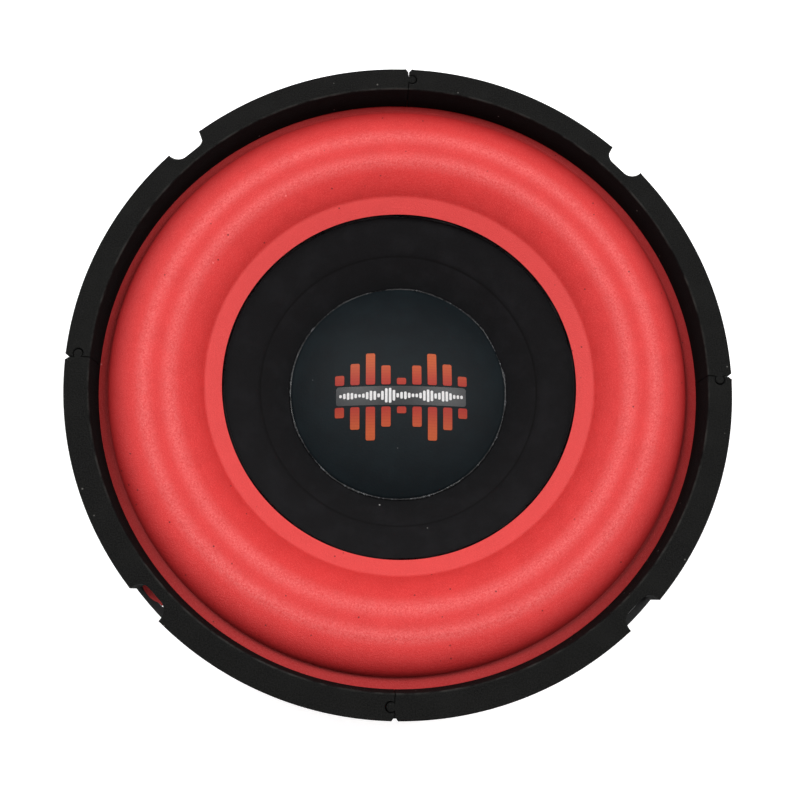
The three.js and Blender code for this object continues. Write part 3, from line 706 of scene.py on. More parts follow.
def cap_finish():
    """Satin blue-black coating with an orange-peel skin, faint wipe marks and a little dust."""
    f = Finish("dust cap coating", Specular_IOR_Level=0.2)
    peel = f.noise(1.1, 3, 0.5)
    cloud = f.noise(16, 4, 0.6)
    wipe = f.noise(5.0, 4, 0.6, (1, 0.25, 1))
    base = f.mix(cloud.ramp(0.3, 0.75), rgb(11, 19, 23), rgb(16, 26, 30))
    base = f.mix(wipe.ramp(0.55, 0.8) * 0.3, base, rgb(24, 34, 38))
    dust = f.specks(5.2, 0.1, 0.05)
    base = f.mix(dust * 0.7, base, rgb(150, 152, 154))
    return f.done(base, 0.54 + cloud * 0.1 + wipe * 0.08, peel + f.noise(0.35, 2) * 0.35, 0.12, 0.5)


def glue_finish(name, scuffed):
    """Black rubbery cement with small bubbles. With scuffed above 0 it carries pale streaks, painted
    highlights that stand for glints.
    """
    f = Finish(name, Specular_IOR_Level=0.5)
    lumps = f.noise(1.3, 3, 0.6)
    base = f.mix(lumps.ramp(0.35, 0.7), rgb(9, 9, 11), rgb(22, 22, 24))
    dull = f.noise(17, 3, 0.6).ramp(0.4, 0.62)
    # painted highlight: pale streaks that stand for light glinting off the cement
    glint_streaks = f.noise(1.2, 4, 0.75).ramp(0.5, 0.62) * f.noise(21, 3, 0.6).ramp(0.44, 0.58)
    base = f.mix(glint_streaks * scuffed, base, rgb(112, 114, 118))
    rough = 0.24 + lumps.ramp(0.35, 0.75) * 0.2 + dull * 0.4
    bubbles = 1 - f.cells(0.9).ramp(0.05, 0.3)
    return f.done(base, rough, lumps + bubbles * 0.25, 0.3, 0.8)


def print_finish():
    """Level bars in glossy ink, orange at their tips and red towards the middle, with ink dots."""
    f = Finish("emblem ink", Specular_IOR_Level=0.3)
    height = (f.y - EMBLEM_AT[1]).abs()
    grain = f.noise(0.35, 3, 0.7)
    base = f.mix(height.ramp(3.0, 17.0), rgb(158, 34, 24), rgb(184, 84, 44))
    base = f.mix(grain.ramp(0.5, 0.8) * 0.25, base, rgb(204, 108, 66))
    rows = (f.y * (TAU / 2.4)).sin().abs().ramp(0.0, 0.22)
    base = f.mix((1 - rows) * 0.4, base, rgb(92, 20, 16))
    return f.done(base, 0.42 + grain * 0.2, grain, 0.05, 0.5)


def band_finish():
    """The emblem's middle band: dark metallic ink that fades towards its ends."""
    f = Finish("emblem band ink", Specular_IOR_Level=0.5)
    grain = f.noise(0.4, 3, 0.7)
    fade = (f.x - EMBLEM_AT[0]).abs().ramp(18.0, 28.0)
    base = f.mix(grain.ramp(0.35, 0.75), rgb(16, 19, 22), rgb(34, 37, 41))
    base = f.mix(fade * 0.5, base, rgb(22, 26, 30))
    return f.done(base, 0.3 + grain * 0.25, grain, 0.04, 0.5)


def pulse_finish():
    """Pale silver ink on the small pulse marks."""
    f = Finish("emblem silver ink", Specular_IOR_Level=0.3)
    grain = f.noise(0.3, 3, 0.7)
    base = f.mix(grain.ramp(0.3, 0.75), rgb(196, 198, 200), rgb(238, 238, 236))
    return f.done(base, 0.32 + grain * 0.2, grain, 0.04, 0.5)


def coat_finish():
    """Black powder coat on stamped steel: orange peel, dust in the texture, rubbed at the rim."""
    f = Finish("black powder coat", Specular_IOR_Level=0.24)
    peel = f.noise(0.9, 3, 0.55)
    cloud = f.noise(22, 4, 0.6)
    base = f.mix(cloud.ramp(0.35, 0.7), rgb(9, 9, 10), rgb(16, 16, 17))
    base = f.mix(f.noise(0.5, 3, 0.7).ramp(0.6, 0.8) * 0.3, base, rgb(40, 40, 41))
    rim = f.r.ramp(FLANGE_R - 0.8, FLANGE_R - 0.1) * f.noise(11, 4, 0.7).ramp(0.45, 0.75)
    base = f.mix(rim * 0.4, base, rgb(92, 92, 94))
    return f.done(base, 0.42 + peel * 0.16 + cloud * 0.06, peel, 0.18, 0.65)


def plated_finish():
    """Turned steel with bright zinc: concentric tool marks, stains and a few scratches."""
    f = Finish("zinc plated steel", Metallic=1.0, Specular_IOR_Level=0.5)
    marks = (f.r * (TAU / 0.55) + f.noise(30, 2) * 4).sin()
    rings = (f.r * (TAU / 2.7) + f.noise(50, 2) * 5).sin()
    stain = f.noise(12, 4, 0.65)
    spangle = f.noise(2.2, 2)
    base = f.mix(stain.ramp(0.3, 0.7), rgb(146, 149, 153), rgb(164, 167, 171))
    base = f.mix(spangle.ramp(0.55, 0.75) * 0.2, base, rgb(128, 131, 136))
    rust = f.specks(5.5, 0.06, 0.12) * stain.ramp(0.45, 0.6)
    base = f.mix(rust * 0.6, base, rgb(112, 82, 60))
    rough = 0.26 + stain * 0.12 + spangle * 0.04 + rings * 0.04
    return f.done(base, rough, marks * 0.5 + rings + spangle * 0.25, 0.06, 0.5)


def screw_finish():
    """Yellow passivated zinc, with painted shade darkening it low down and in the recess."""
    f = Finish("passivated zinc", Metallic=1.0)
    cloud = f.noise(2.4, 3, 0.6)
    base = f.mix(cloud.ramp(0.3, 0.7), rgb(178, 172, 146), rgb(204, 198, 184))
    # painted shade: darker towards the bottom of the head and down in the cross recess
    deep = 1 - f.z.ramp(PLATE_HIGH[2] + 2.4, PLATE_HIGH[2] + 4.1)
    base = f.mix(deep * 0.6, base, rgb(66, 62, 52))
    return f.done(base, 0.28 + cloud * 0.2, f.noise(0.5, 3), 0.05, 0.6)


def ferrite_finish():
    """Sintered ferrite: charcoal, gritty, ground flat, with pale crumbs and pits at its edges."""
    f = Finish("ferrite", Specular_IOR_Level=0.45)
    grit = f.noise(0.45, 4, 0.75)
    cloud = f.noise(15, 4, 0.6)
    base = f.mix(cloud.ramp(0.3, 0.72), rgb(40, 40, 42), rgb(60, 60, 62))
    base = f.mix(grit.ramp(0.55, 0.8) * 0.5, base, rgb(84, 84, 86))
    pits = f.specks(1.9, 0.14, 0.2)
    base = f.mix(pits * 0.8, base, rgb(18, 18, 19))
    crumbs = f.specks(3.1, 0.08, 0.1)
    base = f.mix(crumbs * 0.6, base, rgb(128, 126, 122))
    return f.done(base, 0.5 + grit * 0.3, grit - pits * 1.5 + f.noise(5, 2) * 0.5, 0.2, 0.8)


def cloth_finish():
    """Resin-set cotton weave: two crossed sets of threads, ochre, with resin filling the gaps."""
    f = Finish("spider cloth", Specular_IOR_Level=0.35)
    wobble = f.noise(6, 2) * 1.2
    warp = ((f.x + wobble) * (TAU / 1.3)).sin()
    weft = ((f.y + wobble) * (TAU / 1.3)).sin()
    over = warp * weft
    threads = warp.abs().most(weft.abs())
    slub = f.noise(3.0, 3, 0.6, (1, 0.2, 1))
    base = f.mix(over.ramp(-0.8, 0.8), rgb(168, 122, 52), rgb(206, 166, 92))
    base = f.mix((1 - threads.ramp(0.35, 0.75)) * 0.7, base, rgb(88, 58, 24))
    base = f.mix(slub.ramp(0.5, 0.8) * 0.35, base, rgb(222, 188, 122))
    return f.done(base, 0.6 + over * 0.12 + slub * 0.15, threads + over * 0.5, 0.28, 0.85)


def film_finish():
    """Aluminium former: rolled metal, brushed round the axis."""
    f = Finish("former foil", Metallic=1.0)
    brush = f.noise(0.6, 3, 0.6, (0.12, 0.12, 6))
    cloud = f.noise(9, 3)
    base = f.mix(brush.ramp(0.3, 0.7), rgb(168, 174, 180), rgb(208, 213, 218))
    return f.done(base, 0.25 + brush * 0.2 + cloud * 0.1, brush, 0.04, 0.6)


def card_finish():
    """Brown kraft paper wound round the former."""
    f = Finish("kraft collar", Specular_IOR_Level=0.3)
    fibre = f.noise(0.6, 4, 0.7, (1, 1, 4))
    wrap = (f.z * (TAU / 3.2) + f.angle).sin().ramp(0.9, 1.0)
    base = f.mix(fibre.ramp(0.3, 0.75), rgb(74, 54, 40), rgb(112, 86, 62))
    base = f.mix(wrap * 0.6, base, rgb(40, 30, 22))
    return f.done(base, 0.7 + fibre * 0.2, fibre, 0.12, 0.7)


def copper_finish():
    """Enamelled copper wire: amber coat over bright metal."""
    f = Finish("enamelled copper", Metallic=1.0, Coat_Weight=0.5, Coat_Roughness=0.15)
    tone = f.noise(4, 3, 0.6)
    streak = f.noise(0.8, 2, 0.6, (0.2, 0.2, 3))
    base = f.mix(tone.ramp(0.3, 0.7), rgb(150, 72, 34), rgb(196, 108, 58))
    base = f.mix(streak.ramp(0.5, 0.8) * 0.35, base, rgb(222, 146, 92))
    return f.done(base, 0.22 + tone * 0.15, streak, 0.03, 0.5)


def brass_finish():
    """Stamped brass, dulled, with rolling lines along its length."""
    f = Finish("brass strip", Metallic=1.0)
    roll = f.noise(0.4, 3, 0.6, (6, 6, 0.3))
    tarnish = f.noise(2.6, 4, 0.65)
    base = f.mix(tarnish.ramp(0.35, 0.7), rgb(206, 168, 86), rgb(166, 124, 62))
    base = f.mix(roll.ramp(0.5, 0.8) * 0.3, base, rgb(226, 194, 118))
    return f.done(base, 0.26 + tarnish * 0.25, roll, 0.04, 0.6)


def solder_finish():
    """Tin solder with a satin, slightly grained skin."""
    f = Finish("solder", Metallic=1.0)
    grain = f.noise(0.5, 3, 0.6)
    base = f.mix(grain.ramp(0.3, 0.75), rgb(150, 152, 154), rgb(198, 200, 202))
    return f.done(base, 0.24 + grain * 0.3, grain, 0.08, 0.6)


def braid_finish():
    """Tinned copper foil threads over a cotton core: bright strands, copper tint in the gaps."""
    f = Finish("tinsel braid", Metallic=0.9)
    strand = f.noise(0.28, 3, 0.7)
    tone = f.noise(3.0, 3)
    base = f.mix(strand.ramp(0.35, 0.7), rgb(132, 84, 54), rgb(206, 166, 132))
    base = f.mix(tone.ramp(0.4, 0.75) * 0.5, base, rgb(196, 178, 160))
    return f.done(base, 0.28 + strand * 0.25, strand, 0.08, 0.7)


def plastic_finish(name, dark, light, gloss):
    """Moulded plastic: fine spark texture, faint flow clouds and rubbed high spots."""
    f = Finish(name, Specular_IOR_Level=0.5)
    spark = f.noise(0.3, 3, 0.65)
    flow = f.noise(7, 4, 0.6)
    base = f.mix(flow.ramp(0.3, 0.7), dark, light)
    base = f.mix(spark.ramp(0.6, 0.8) * 0.25, base, light)
    return f.done(base, gloss + spark * 0.2 + flow * 0.05, spark, 0.08, 0.6)


def wire_finish(name, dark, light):
    """Drawn steel wire with die lines and a trace of oil."""
    f = Finish(name, Metallic=1.0)
    lines = f.noise(0.25, 3, 0.6)
    oil = f.noise(2.0, 3)
    base = f.mix(lines.ramp(0.3, 0.7), dark, light)
    return f.done(base, 0.22 + oil * 0.25, lines, 0.04, 0.6)


GASKET = gasket_finish()
SURROUND_FOAM = foam_finish()
PAPER = paper_finish()
CAP = cap_finish()
GLUE = glue_finish("black cement", 0.0)
GLINT_CEMENT = glue_finish("scuffed cement", 0.8)
PRINT = print_finish()
BAND = band_finish()
PULSE = pulse_finish()
COAT = coat_finish()
PLATED = plated_finish()
SCREW = screw_finish()
FERRITE = ferrite_finish()
CLOTH = cloth_finish()
FILM = film_finish()
CARD = card_finish()
COPPER = copper_finish()
BRASS = brass_finish()
SOLDER = solder_finish()
BRAID = braid_finish()
RED = plastic_finish("red plastic", rgb(150, 18, 22), rgb(186, 30, 32), 0.3)
BLACK = plastic_finish("black plastic", rgb(18, 18, 19), rgb(32, 32, 33), 0.32)
BLOCK = plastic_finish("filled black plastic", rgb(22, 22, 23), rgb(38, 38, 38), 0.45)
MESH = wire_finish("vent mesh", rgb(66, 68, 72), rgb(112, 114, 118))
WIRE = wire_finish("spring wire", rgb(150, 152, 156), rgb(204, 206, 208))


# ---------------------------------------------------------------- gasket
def gasket_outline():
    """A quarter ring from +X to +Y, anticlockwise: knob, outer arc, notch, outer arc, socket."""
    seam = FIT / 2
    middle = (GASKET_R + GASKET_INNER_R) / 2
    knob_top = math.sqrt(KNOB_R**2 - KNOB_NECK**2)
    knob_from = math.atan2(knob_top, -KNOB_NECK)
    knob = arc(middle, seam - KNOB_OFFSET, KNOB_R, knob_from, 3 * math.pi - knob_from, 28)
    socket_r = KNOB_R + FIT
    socket_from = math.pi - math.asin((KNOB_OFFSET - seam) / socket_r)
    socket = arc(middle, -KNOB_OFFSET, socket_r, 3 * math.pi - socket_from, socket_from, 28)
    nick = NICK_WIDE / GASKET_R
    mouth = math.asin(NOTCH_HALF_MOUTH / GASKET_R)
    depth = math.sqrt(GASKET_R**2 - NOTCH_HALF_MOUTH**2) - NOTCH_FLOOR_R
    t = np.linspace(0, math.pi / 2, 16)
    flare = NOTCH_HALF_MOUTH - NOTCH_HALF_FLOOR
    side = np.stack([NOTCH_FLOOR_R + depth * (1 - np.cos(t)), NOTCH_HALF_FLOOR + flare * np.sin(t)], -1)
    notch = turned(joined((side * (1, -1))[::-1][1:], side[:-1]), math.pi / 4)
    far_end = joined((GASKET_R - NICK_DEEP, -seam), socket, (GASKET_INNER_R, -seam))
    return joined(
        (GASKET_INNER_R, seam),
        knob,
        (GASKET_R - NICK_DEEP, seam),
        arc(0, 0, GASKET_R, nick, math.pi / 4 - mouth, 60),
        notch,
        arc(0, 0, GASKET_R, math.pi / 4 + mouth, math.pi / 2 - nick, 60),
        turned(far_end, math.pi / 2),
        arc(0, 0, GASKET_INNER_R, math.pi / 2, 0, 120)[1:-1],
    )


def gasket_segments():
    """Each segment is the outline raised, with its top edge rolled over and its foot eased."""
    outline = refined(gasket_outline(), 1.6)
    foot = [(GASKET_Z, FOOT_EDGE), (GASKET_Z + FOOT_EDGE, 0.0)]
    wall = [(GASKET_Z + h, 0.0) for h in (3.0, 6.5, 10.0)]
    top = [
        (TOP_Z - TOP_EDGE * (1 - math.sin(a)), TOP_EDGE * (1 - math.cos(a)))
        for a in np.linspace(0, math.pi / 2, 5)
    ]
    parts = lofted(outline, [*foot, *wall, *top, (TOP_Z, TOP_EDGE + 0.12)], 3.0)
    for i in QUARTERS:
        name = f"gasket_segment_{i + 1}"
        turn = [moved(part, turn=i * math.pi / 2) for part in parts]
        ridden(name + "_fibre", turn, GASKET, "gasket", "frame", name)


# ---------------------------------------------------------------- moving assembly
def slot_angles(count, half):
    """Angles round the axis, with points packed close where each slot's two sides are."""
    near = np.concatenate([side * half + np.linspace(-1, 1, 21) * 0.02 for side in (-1, 1)])
    packed = np.add.outer(FOAM_SLOTS, near).ravel()
    return np.unique(np.round(np.concatenate([around(count), packed]), 6))


def roll_line():
    """The roll's upper face: a 60 degree arc up to the crest, then a full shoulder.

    The shoulder is a quarter of the oval |r|^p + |z|^p = 1, with p the SHOULDER_POWER, so it meets the
    flange upright. Two low mould ridges run round the crown.
    """
    crest_r = (INNER_CREASE_R + CREASE_R) / 2 + 2.0
    sweep = math.pi / 3
    a = np.linspace(-sweep, 0, 30)
    big = (crest_r - INNER_CREASE_R) / math.sin(sweep)
    rise = np.stack([crest_r + big * np.sin(a), INNER_CREASE_Z + big * (np.cos(a) - math.cos(sweep))], -1)
    t = np.linspace(0, 1, 36)[1:] * math.pi / 2
    power = 2 / SHOULDER_POWER
    out, down = np.sin(t) ** power, np.maximum(np.cos(t), 0) ** power
    shoulder_r = crest_r + (CREASE_R - crest_r) * out
    shoulder = np.stack([shoulder_r, FOAM_TOP + (rise[-1, 1] - FOAM_TOP) * down], -1)
    line = resampled(joined(rise, shoulder), 0.9)
    for ridge in RIDGES:
        line[:, 1] += RIDGE_HIGH * np.exp(-(((line[:, 0] - ridge) / RIDGE_WIDE) ** 2))
    return line


def foam_edge(angle):
    """Radius of the foam's outer edge: cut back at the screws, with one stray flap beside a screw."""
    across = np.abs(np.subtract.outer(angle, FOAM_SLOTS)).min(1) * FOAM_SLOT_R
    corner = np.clip(across - (FOAM_SLOT_HALF - FOAM_SLOT_CORNER), 0, FOAM_SLOT_CORNER)
    cut = FOAM_SLOT_R + FOAM_SLOT_CORNER - np.sqrt(FOAM_SLOT_CORNER**2 - corner**2)
    flap = FLAP_LONG * np.exp(-(((angle - FLAP_ANGLE) / FLAP_WIDE) ** 4))
    return np.where(across < FOAM_SLOT_HALF, cut, FOAM_R + 0.18 * ripple(angle, 5) + flap)


def surround():
    """The foam roll between a flat outer flange and the lap glued on the cone."""
    angle = slot_angles(384, FOAM_SLOT_HALF / FOAM_SLOT_R)
    lap = resampled(points((FOAM_EDGE_R, FOAM_EDGE_Z), (INNER_CREASE_R, INNER_CREASE_Z)), 1.0)[:-1]
    line = joined(lap, roll_line())
    flange = np.linspace(0, 1, 10)[1:]
    share = np.concatenate([np.zeros(len(line)), flange])
    top = joined(line, np.tile((CREASE_R, FOAM_TOP), (len(flange), 1)))
    spread = top + np.outer(share, (FOAM_R - CREASE_R, 0))
    low = top - normals(spread, False) * FOAM
    loop = np.concatenate([top, low[::-1]])
    share = np.concatenate([share, share[::-1]])
    r = loop[:, 0] + np.outer(foam_edge(angle) - CREASE_R, share)
    lean = ease((r - INNER_CREASE_R) / (CREASE_R - INNER_CREASE_R))
    arch = ease((r - INNER_CREASE_R) / 8) * ease((CREASE_R - r) / 8)
    z = loop[:, 1] + arch * 0.12 * ripple(angle, 11, 2, 9, 6)[:, None]
    r = r + arch * 0.1 * ripple(angle, 12, 3, 24)[:, None]
    xyz = polar(r, angle[:, None], z)
    xyz[..., 0] -= ROLL_LEAN * lean
    foam = built("surround_foam", [surface(xyz)], SURROUND_FOAM, "surround_foam", 50)
    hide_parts("surround")
    flexing(foam, CREASE_R, INNER_CREASE_R)


def cone_line(steps):
    """The cone wall's upper face from neck to rim: one arc that flattens outwards."""
    return bowed((NECK_R, NECK_Z), RIM, CONE_SWEEP, steps)


def cone():
    """The wall's two faces, its lip at the neck, and a groove and fine step in the upper face."""
    wall = cone_line(90)
    neck = rounded_line(joined((NECK_R, LIP_Z), wall[:2]), (0, 1.2, 0), 5, False)[:-1]
    line = joined(neck, wall[2:])
    under = (line - normals(line, False) * CONE_THICK)[::-1]
    r = line[:, 0]
    groove = GROOVE_DEEP * np.exp(-(((r - STEP_R) / GROOVE_WIDE) ** 2))
    dip = (groove + STEP_DEEP * ease((STEP_R - r) / 0.6)) * (r > 45)
    top = line - normals(line, False) * np.minimum(dip, 0.4)[:, None]
    ridden("cone_body", [spun(joined(top, under), 256)], PAPER, "cone_paper", "cone_assembly", "cone")


def dome(x, y):
    """Height of the dust cap's face over a point in plan: a ball of radius BALL_R."""
    return CAP_TOP - BALL_R + np.sqrt(BALL_R**2 - x**2 - y**2)


def dust_cap():
    """A thin dome with a rounded foot."""
    r = np.linspace(0, CAP_R - 0.25, 60)
    top = np.stack([r, dome(r, 0)], -1)
    low = np.stack([r * (BALL_R - CAP_THICK) / BALL_R, dome(r, 0) - CAP_THICK], -1)
    foot = points((CAP_R, dome(CAP_R, 0) - 0.25), (CAP_R - 0.05, dome(CAP_R, 0) - 0.6))
    profile = joined(top, foot, low[::-1])
    ridden("dust_cap_dome", [spun(profile, 224, False)], CAP, "dust_cap", "cone_assembly", "dust_cap")


def cap_cement():
    """The bead of cement round the dust cap: a ring whose place and thickness wander."""
    angle = around(720)
    wander = 0.25 * ripple(angle, 21, 2, 14) + 0.08 * ripple(angle, 22, 20, 90)
    size = 0.5 + 0.16 * ripple(angle, 23, 4, 30) + 0.08 * ripple(angle, 24, 30, 110)
    turn = around(14)
    r = (CAP_R + 0.2 + wander)[:, None] + np.outer(size * 1.05, np.cos(turn))
    z = dome(CAP_R, 0) - 0.75 + 0.62 * wander[:, None] + np.outer(size * 0.8, np.sin(turn))
    ring = surface(polar(r, angle[:, None], z))
    # the cap's cement carries painted highlight streaks
    ridden("cap_cement", [ring], GLINT_CEMENT, "adhesive_black", "cone_assembly", crease=80)


def inked(outline, lift, thick, step=1.2):
    """A printed mark: a flat outline laid on the dome, its edge turned down."""
    flat, triangles = plate(refined(outline, 0.8), (), step)
    placed = turned(flat, EMBLEM_TURN) + np.array(EMBLEM_AT)
    height = dome(*placed.T)
    return thickened(lifted(placed, height + lift + thick), lifted(placed, height + lift), triangles)


def emblem():
    """Sound-level bars above and below a narrow band, and a row of small pulse marks on the band."""
    pitch = (EMBLEM_WIDE - BAR_WIDE) / (len(BARS) - 1)
    start = BAND_HALF + 0.7
    bars = []
    for i, half in enumerate(BARS):
        x = i * pitch - (EMBLEM_WIDE - BAR_WIDE) / 2
        for sign in (-1, 1):
            length = half - start
            middle = sign * (start + length / 2)
            bars.append(inked(oblong(BAR_WIDE, length, 0.7, 3, (x, middle)), 0.02, 0.24))
    ridden("emblem_bars", bars, PRINT, "emblem_print", "cone_assembly", "emblem")
    strip = inked(oblong(EMBLEM_WIDE - 1, 2 * BAND_HALF, 1.2, 5), 0.02, 0.2)
    ridden("emblem_band", [strip], BAND, "emblem_print", "cone_assembly")
    count, pitch, wide = 33, 1.6, 1.1
    number = np.arange(count)
    beat = np.abs(np.sin(number * 0.62) * np.cos(number * 0.23 + 0.4))
    heights = 1.3 + 5.4 * beat * np.sin(math.pi * (number + 0.5) / count) ** 0.5
    marks = [
        inked(oblong(wide, high, 0.4, 2, (pitch * (i - (count - 1) / 2), 0)), 0.21, 0.14, 0.9)
        for i, high in enumerate(heights)
    ]
    ridden("emblem_pulse", marks, PULSE, "emblem_print", "cone_assembly")


def spider():
    """A corrugated disc: height follows a sine of four waves between two flat rings."""
    top = SPIDER_Z + SPIDER_THICK
    start, end = SPIDER_BEND_R, SHOULDER_R - 1.2
    t = np.linspace(0, 1, 97)
    waves = np.stack([start + (end - start) * t, top + 2.1 * np.sin(4 * TAU * t)], -1)
    rim = np.stack([np.linspace(end + 1.5, SPIDER_R, 8), np.full(8, top)], -1)
    line = joined((NECK_R, top), (NECK_R + 1.7, top), waves, rim)
    cloth = built("spider_cloth", [spun(band(line, SPIDER_THICK), 200)], CLOTH, "spider_cloth", 60)
    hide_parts("spider")
    flexing(cloth, SHOULDER_R, SPIDER_BEND_R)


def coil():
    """The former, the kraft collar on it, and the winding turn by turn."""
    low, high = FORMER_LOW[2], FORMER_HIGH[2]
    part = sleeve(FORMER_R - 0.5, FORMER_R, low, high)
    ridden("former_sleeve", [part], FILM, "former_film", "cone_assembly", "voice_coil_former")
    part = sleeve(FORMER_R + 0.05, COLLAR_HIGH[0], COLLAR_LOW[2], COLLAR_HIGH[2])
    ridden("collar_wrap", [part], CARD, "collar_card", "cone_assembly", "former_collar")
    base, top = WINDING_LOW[2], WINDING_HIGH[2]
    turns = 60
    t = np.linspace(0, 1, turns * 6 + 1)
    wire = (top - base) / turns / 2
    outer = WINDING_HIGH[0] - 0.34 * wire + wire * (np.abs(np.sin(math.pi * turns * t)) - 0.66)
    face = np.stack([outer, base + (top - base) * t], -1)
    part = spun(joined(face, (FORMER_R + 0.06, top), (FORMER_R + 0.06, base)), 120)
    name = "voice_coil_winding"
    ridden("winding_turns", [part], COPPER, "coil_copper", "cone_assembly", name, crease=70)


def bead(name, corner, wide, tall, body, seed, steps=360):
    """A fillet of cement in a corner at (radius, height): its two legs wander round the axis."""
    angle = around(steps)
    grow = 1 + 0.28 * ripple(angle, seed, 3, 40) + 0.1 * ripple(angle, seed + 1, 30, 80)
    t = np.linspace(0, math.pi / 2, 7)
    bulge = 1 - 0.3 * np.sin(2 * t)
    r = corner[0] + np.outer(grow, np.append(np.cos(t) * bulge, 0)) * wide
    z = corner[1] + np.outer(grow, np.append(np.sin(t) * bulge, 0)) * tall
    part = surface(polar(r, angle[:, None], z))
    ridden(name, [part], GLUE, "adhesive_black", body, crease=70)


def cement_lines():
    """Cement squeezed out where the glued pieces meet."""
    bead("spider_cement", (SPIDER_R, LANDING_Z + 0.03), 0.75, 0.95, "frame", 31)
    bead("neck_cement", (26.2, SPIDER_Z - 0.05), 3.0, -2.2, "cone_assembly", 33)
    bead("magnet_foot_cement", (BACK_R, MAGNET_LOW[2] - 0.03), 1.6, -1.3, "frame", 35)
    bead("magnet_top_cement", (PLATE_R, MAGNET_HIGH[2] + 0.03), 1.8, 1.4, "frame", 37)
    bead("lap_cement", (FOAM_EDGE_R - 0.75, FOAM_EDGE_Z - 1.5), 0.95, 0.95, "cone_assembly", 39)


# ---------------------------------------------------------------- frame
def frame_profile():
    """The frame's upper face as (radius, height): seat, shoulder, landing, legs, wall, flange."""
    corners = points(
        (GAP_R, SEAT_TOP),
        (53.4, SEAT_TOP),
        (56.2, LANDING_Z),
        (LANDING_R, LANDING_Z),
        (FLANGE_R - 20.1, FLANGE_TOP - 14.0),
        (FLANGE_R - 17.6, FLANGE_TOP),
        (FLANGE_R, FLANGE_TOP),
    )
    return resampled(rounded_line(corners, (0, 3.0, 2.4, 5.0, 9.0, 3.2, 0), 8, False), 0.5)


class Pressing:
    """The frame's profile unrolled: a flat sheet on (angle times SPREAD, length along the profile)."""

    SPREAD = 88.0

    def __init__(self):
        self.line = frame_profile()
        self.run = lengths(self.line)
        self.low = self.at_radius(LANDING_R + 3.2)
        self.high = np.interp(FLANGE_TOP - 9.9, self.line[:, 1], self.run)

    def at_radius(self, r):
        return np.interp(r, self.line[:, 0], self.run)

    def plan(self, loop):
        """A loop in plan, on the sheet."""
        x, y = loop.T
        return np.stack([np.arctan2(y, x) * self.SPREAD, self.at_radius(np.hypot(x, y))], -1)

    def window(self, centre):
        """The opening between two legs."""
        wide = (math.pi / 2 - 2 * LEG_HALF_ANGLE) * self.SPREAD
        middle = (centre * self.SPREAD, (self.low + self.high) / 2)
        return refined(oblong(wide, self.high - self.low, 8.0, 10, middle), 1.4)

    def quarter(self, seam):
        """The flat mesh from one seam to the next, whose two edges have matching points."""
        slot = oblong(SLOT_WIDE, SLOT_LONG, SLOT_WIDE / 2, 12) + points((SLOT_CIRCLE, 0))
        screw = circle(SCREW_HOLE_R, 28, (SCREW_CIRCLE, 0))
        slot, screw = (self.plan(turned(loop, math.pi / 4)) for loop in (slot, screw))
        left, right = seam * self.SPREAD, (seam + math.pi / 2) * self.SPREAD
        corners = points((left, 0), (right, 0), (right, self.run[-1]), (left, self.run[-1]))
        holes = [self.window(math.pi / 2), refined(slot, 1.0), screw]
        flat, triangles = plate(refined(corners, 1.9), holes, 1.9)
        sides = [np.flatnonzero(np.abs(flat[:, 0] - x) < 0.001) for x in (left, right)]
        first, last = (side[np.argsort(flat[side, 1])] for side in sides)
        flat[last] = flat[first] + points((right - left, 0))
        return flat, triangles

    def relief(self, flat, angle):
        """How far the steel is pushed out: ribs along the legs, less the windows' turned-in lips."""
        edges = joined(self.window(math.pi / 2), self.window(0))
        gap = np.min([np.hypot(*(flat - p).T) for p in edges], axis=0)
        lip = LIP_DEEP * (1 - ease(gap / LIP_WIDE))
        across = np.abs(angle % (math.pi / 2) - math.pi / 4) / (0.46 * LEG_HALF_ANGLE)
        s = flat[:, 1]
        along = ease((s - self.low) / 9) * ease((self.high - 1 - s) / 9)
        return RIB_HIGH * (1 - ease((across - 0.55) / 0.45)) * along - lip

    def shell(self):
        """The quarter bent onto the profile four times over, welded and given its thickness."""
        flat, triangles = self.quarter(math.radians(36.5))
        angle, s = flat[:, 0] / self.SPREAD, flat[:, 1]
        r, z = (np.interp(s, self.run, side) for side in self.line.T)
        out = np.stack([np.interp(s, self.run, side) for side in normals(self.line, False).T], -1)
        out /= np.hypot(*out.T)[:, None]
        shift = self.relief(flat, angle)
        layers = []
        for depth in (0.0, STEEL):
            move = (shift - depth)[:, None] * out
            turns = [polar(r + move[:, 0], angle + i * math.pi / 2, z + move[:, 1]) for i in QUARTERS]
            layers.append(np.concatenate(turns))
        triangles = np.concatenate([triangles + i * len(flat) for i in QUARTERS])
        top, triangles, first = welded(layers[0], triangles)
        return thickened(top, layers[1][first], triangles)


def terminal_tab():
    """The flat tab on the landing that carries the terminal block."""
    inner = LANDING_R - 2
    outline = oblong(46, TAB_EDGE - inner, 3.0, 8, (0, -(inner + TAB_EDGE) / 2))
    holes = rivet_holes() + [oblong(5.6, 1.4, 0.2, 3, (x, CONTACT_Y)) for x in SIDES.values()]
    return slab(refined(outline, 2.0), holes, LANDING_Z - STEEL + 0.02, LANDING_Z - 0.02)


def basket():
    """The pressed steel frame, pierced by windows, slots and holes, with its terminal tab."""
    parts = [Pressing().shell(), terminal_tab()]
    steel = ridden("frame_pressing", parts, COAT, "frame_steel", "frame", "basket", crease=40)
    softened(steel, 0.22)


# ---------------------------------------------------------------- motor
def yoke():
    """The turned back plate and vented pole in one."""
    top = YOKE_HIGH[2]
    section = points(
        (VENT_R + 3, 0),
        (BACK_R - 1, 0),
        (BACK_R, 1),
        (BACK_R, 7),
        (BACK_R - 1, 8),
        (POLE_R + 4.0, 8),
        (POLE_R + 4.0, 7.2),
        (POLE_R, 7.2),
        (POLE_R, top - 1),
        (POLE_R - 1, top),
        (VENT_R + 0.8, top),
        (VENT_R, top - 0.8),
        (VENT_R, 3),
    )
    soft = (0.4, 0.3, 0.3, 0.3, 0.3, 0.2, 0.2, 0.6, 0.3, 0.3, 0.3, 0.3, 1.0)
    part = spun(rounded_line(section, soft, 4), 200)
    ridden("yoke_turning", [part], PLATED, "plated_steel", "frame", "t_yoke")


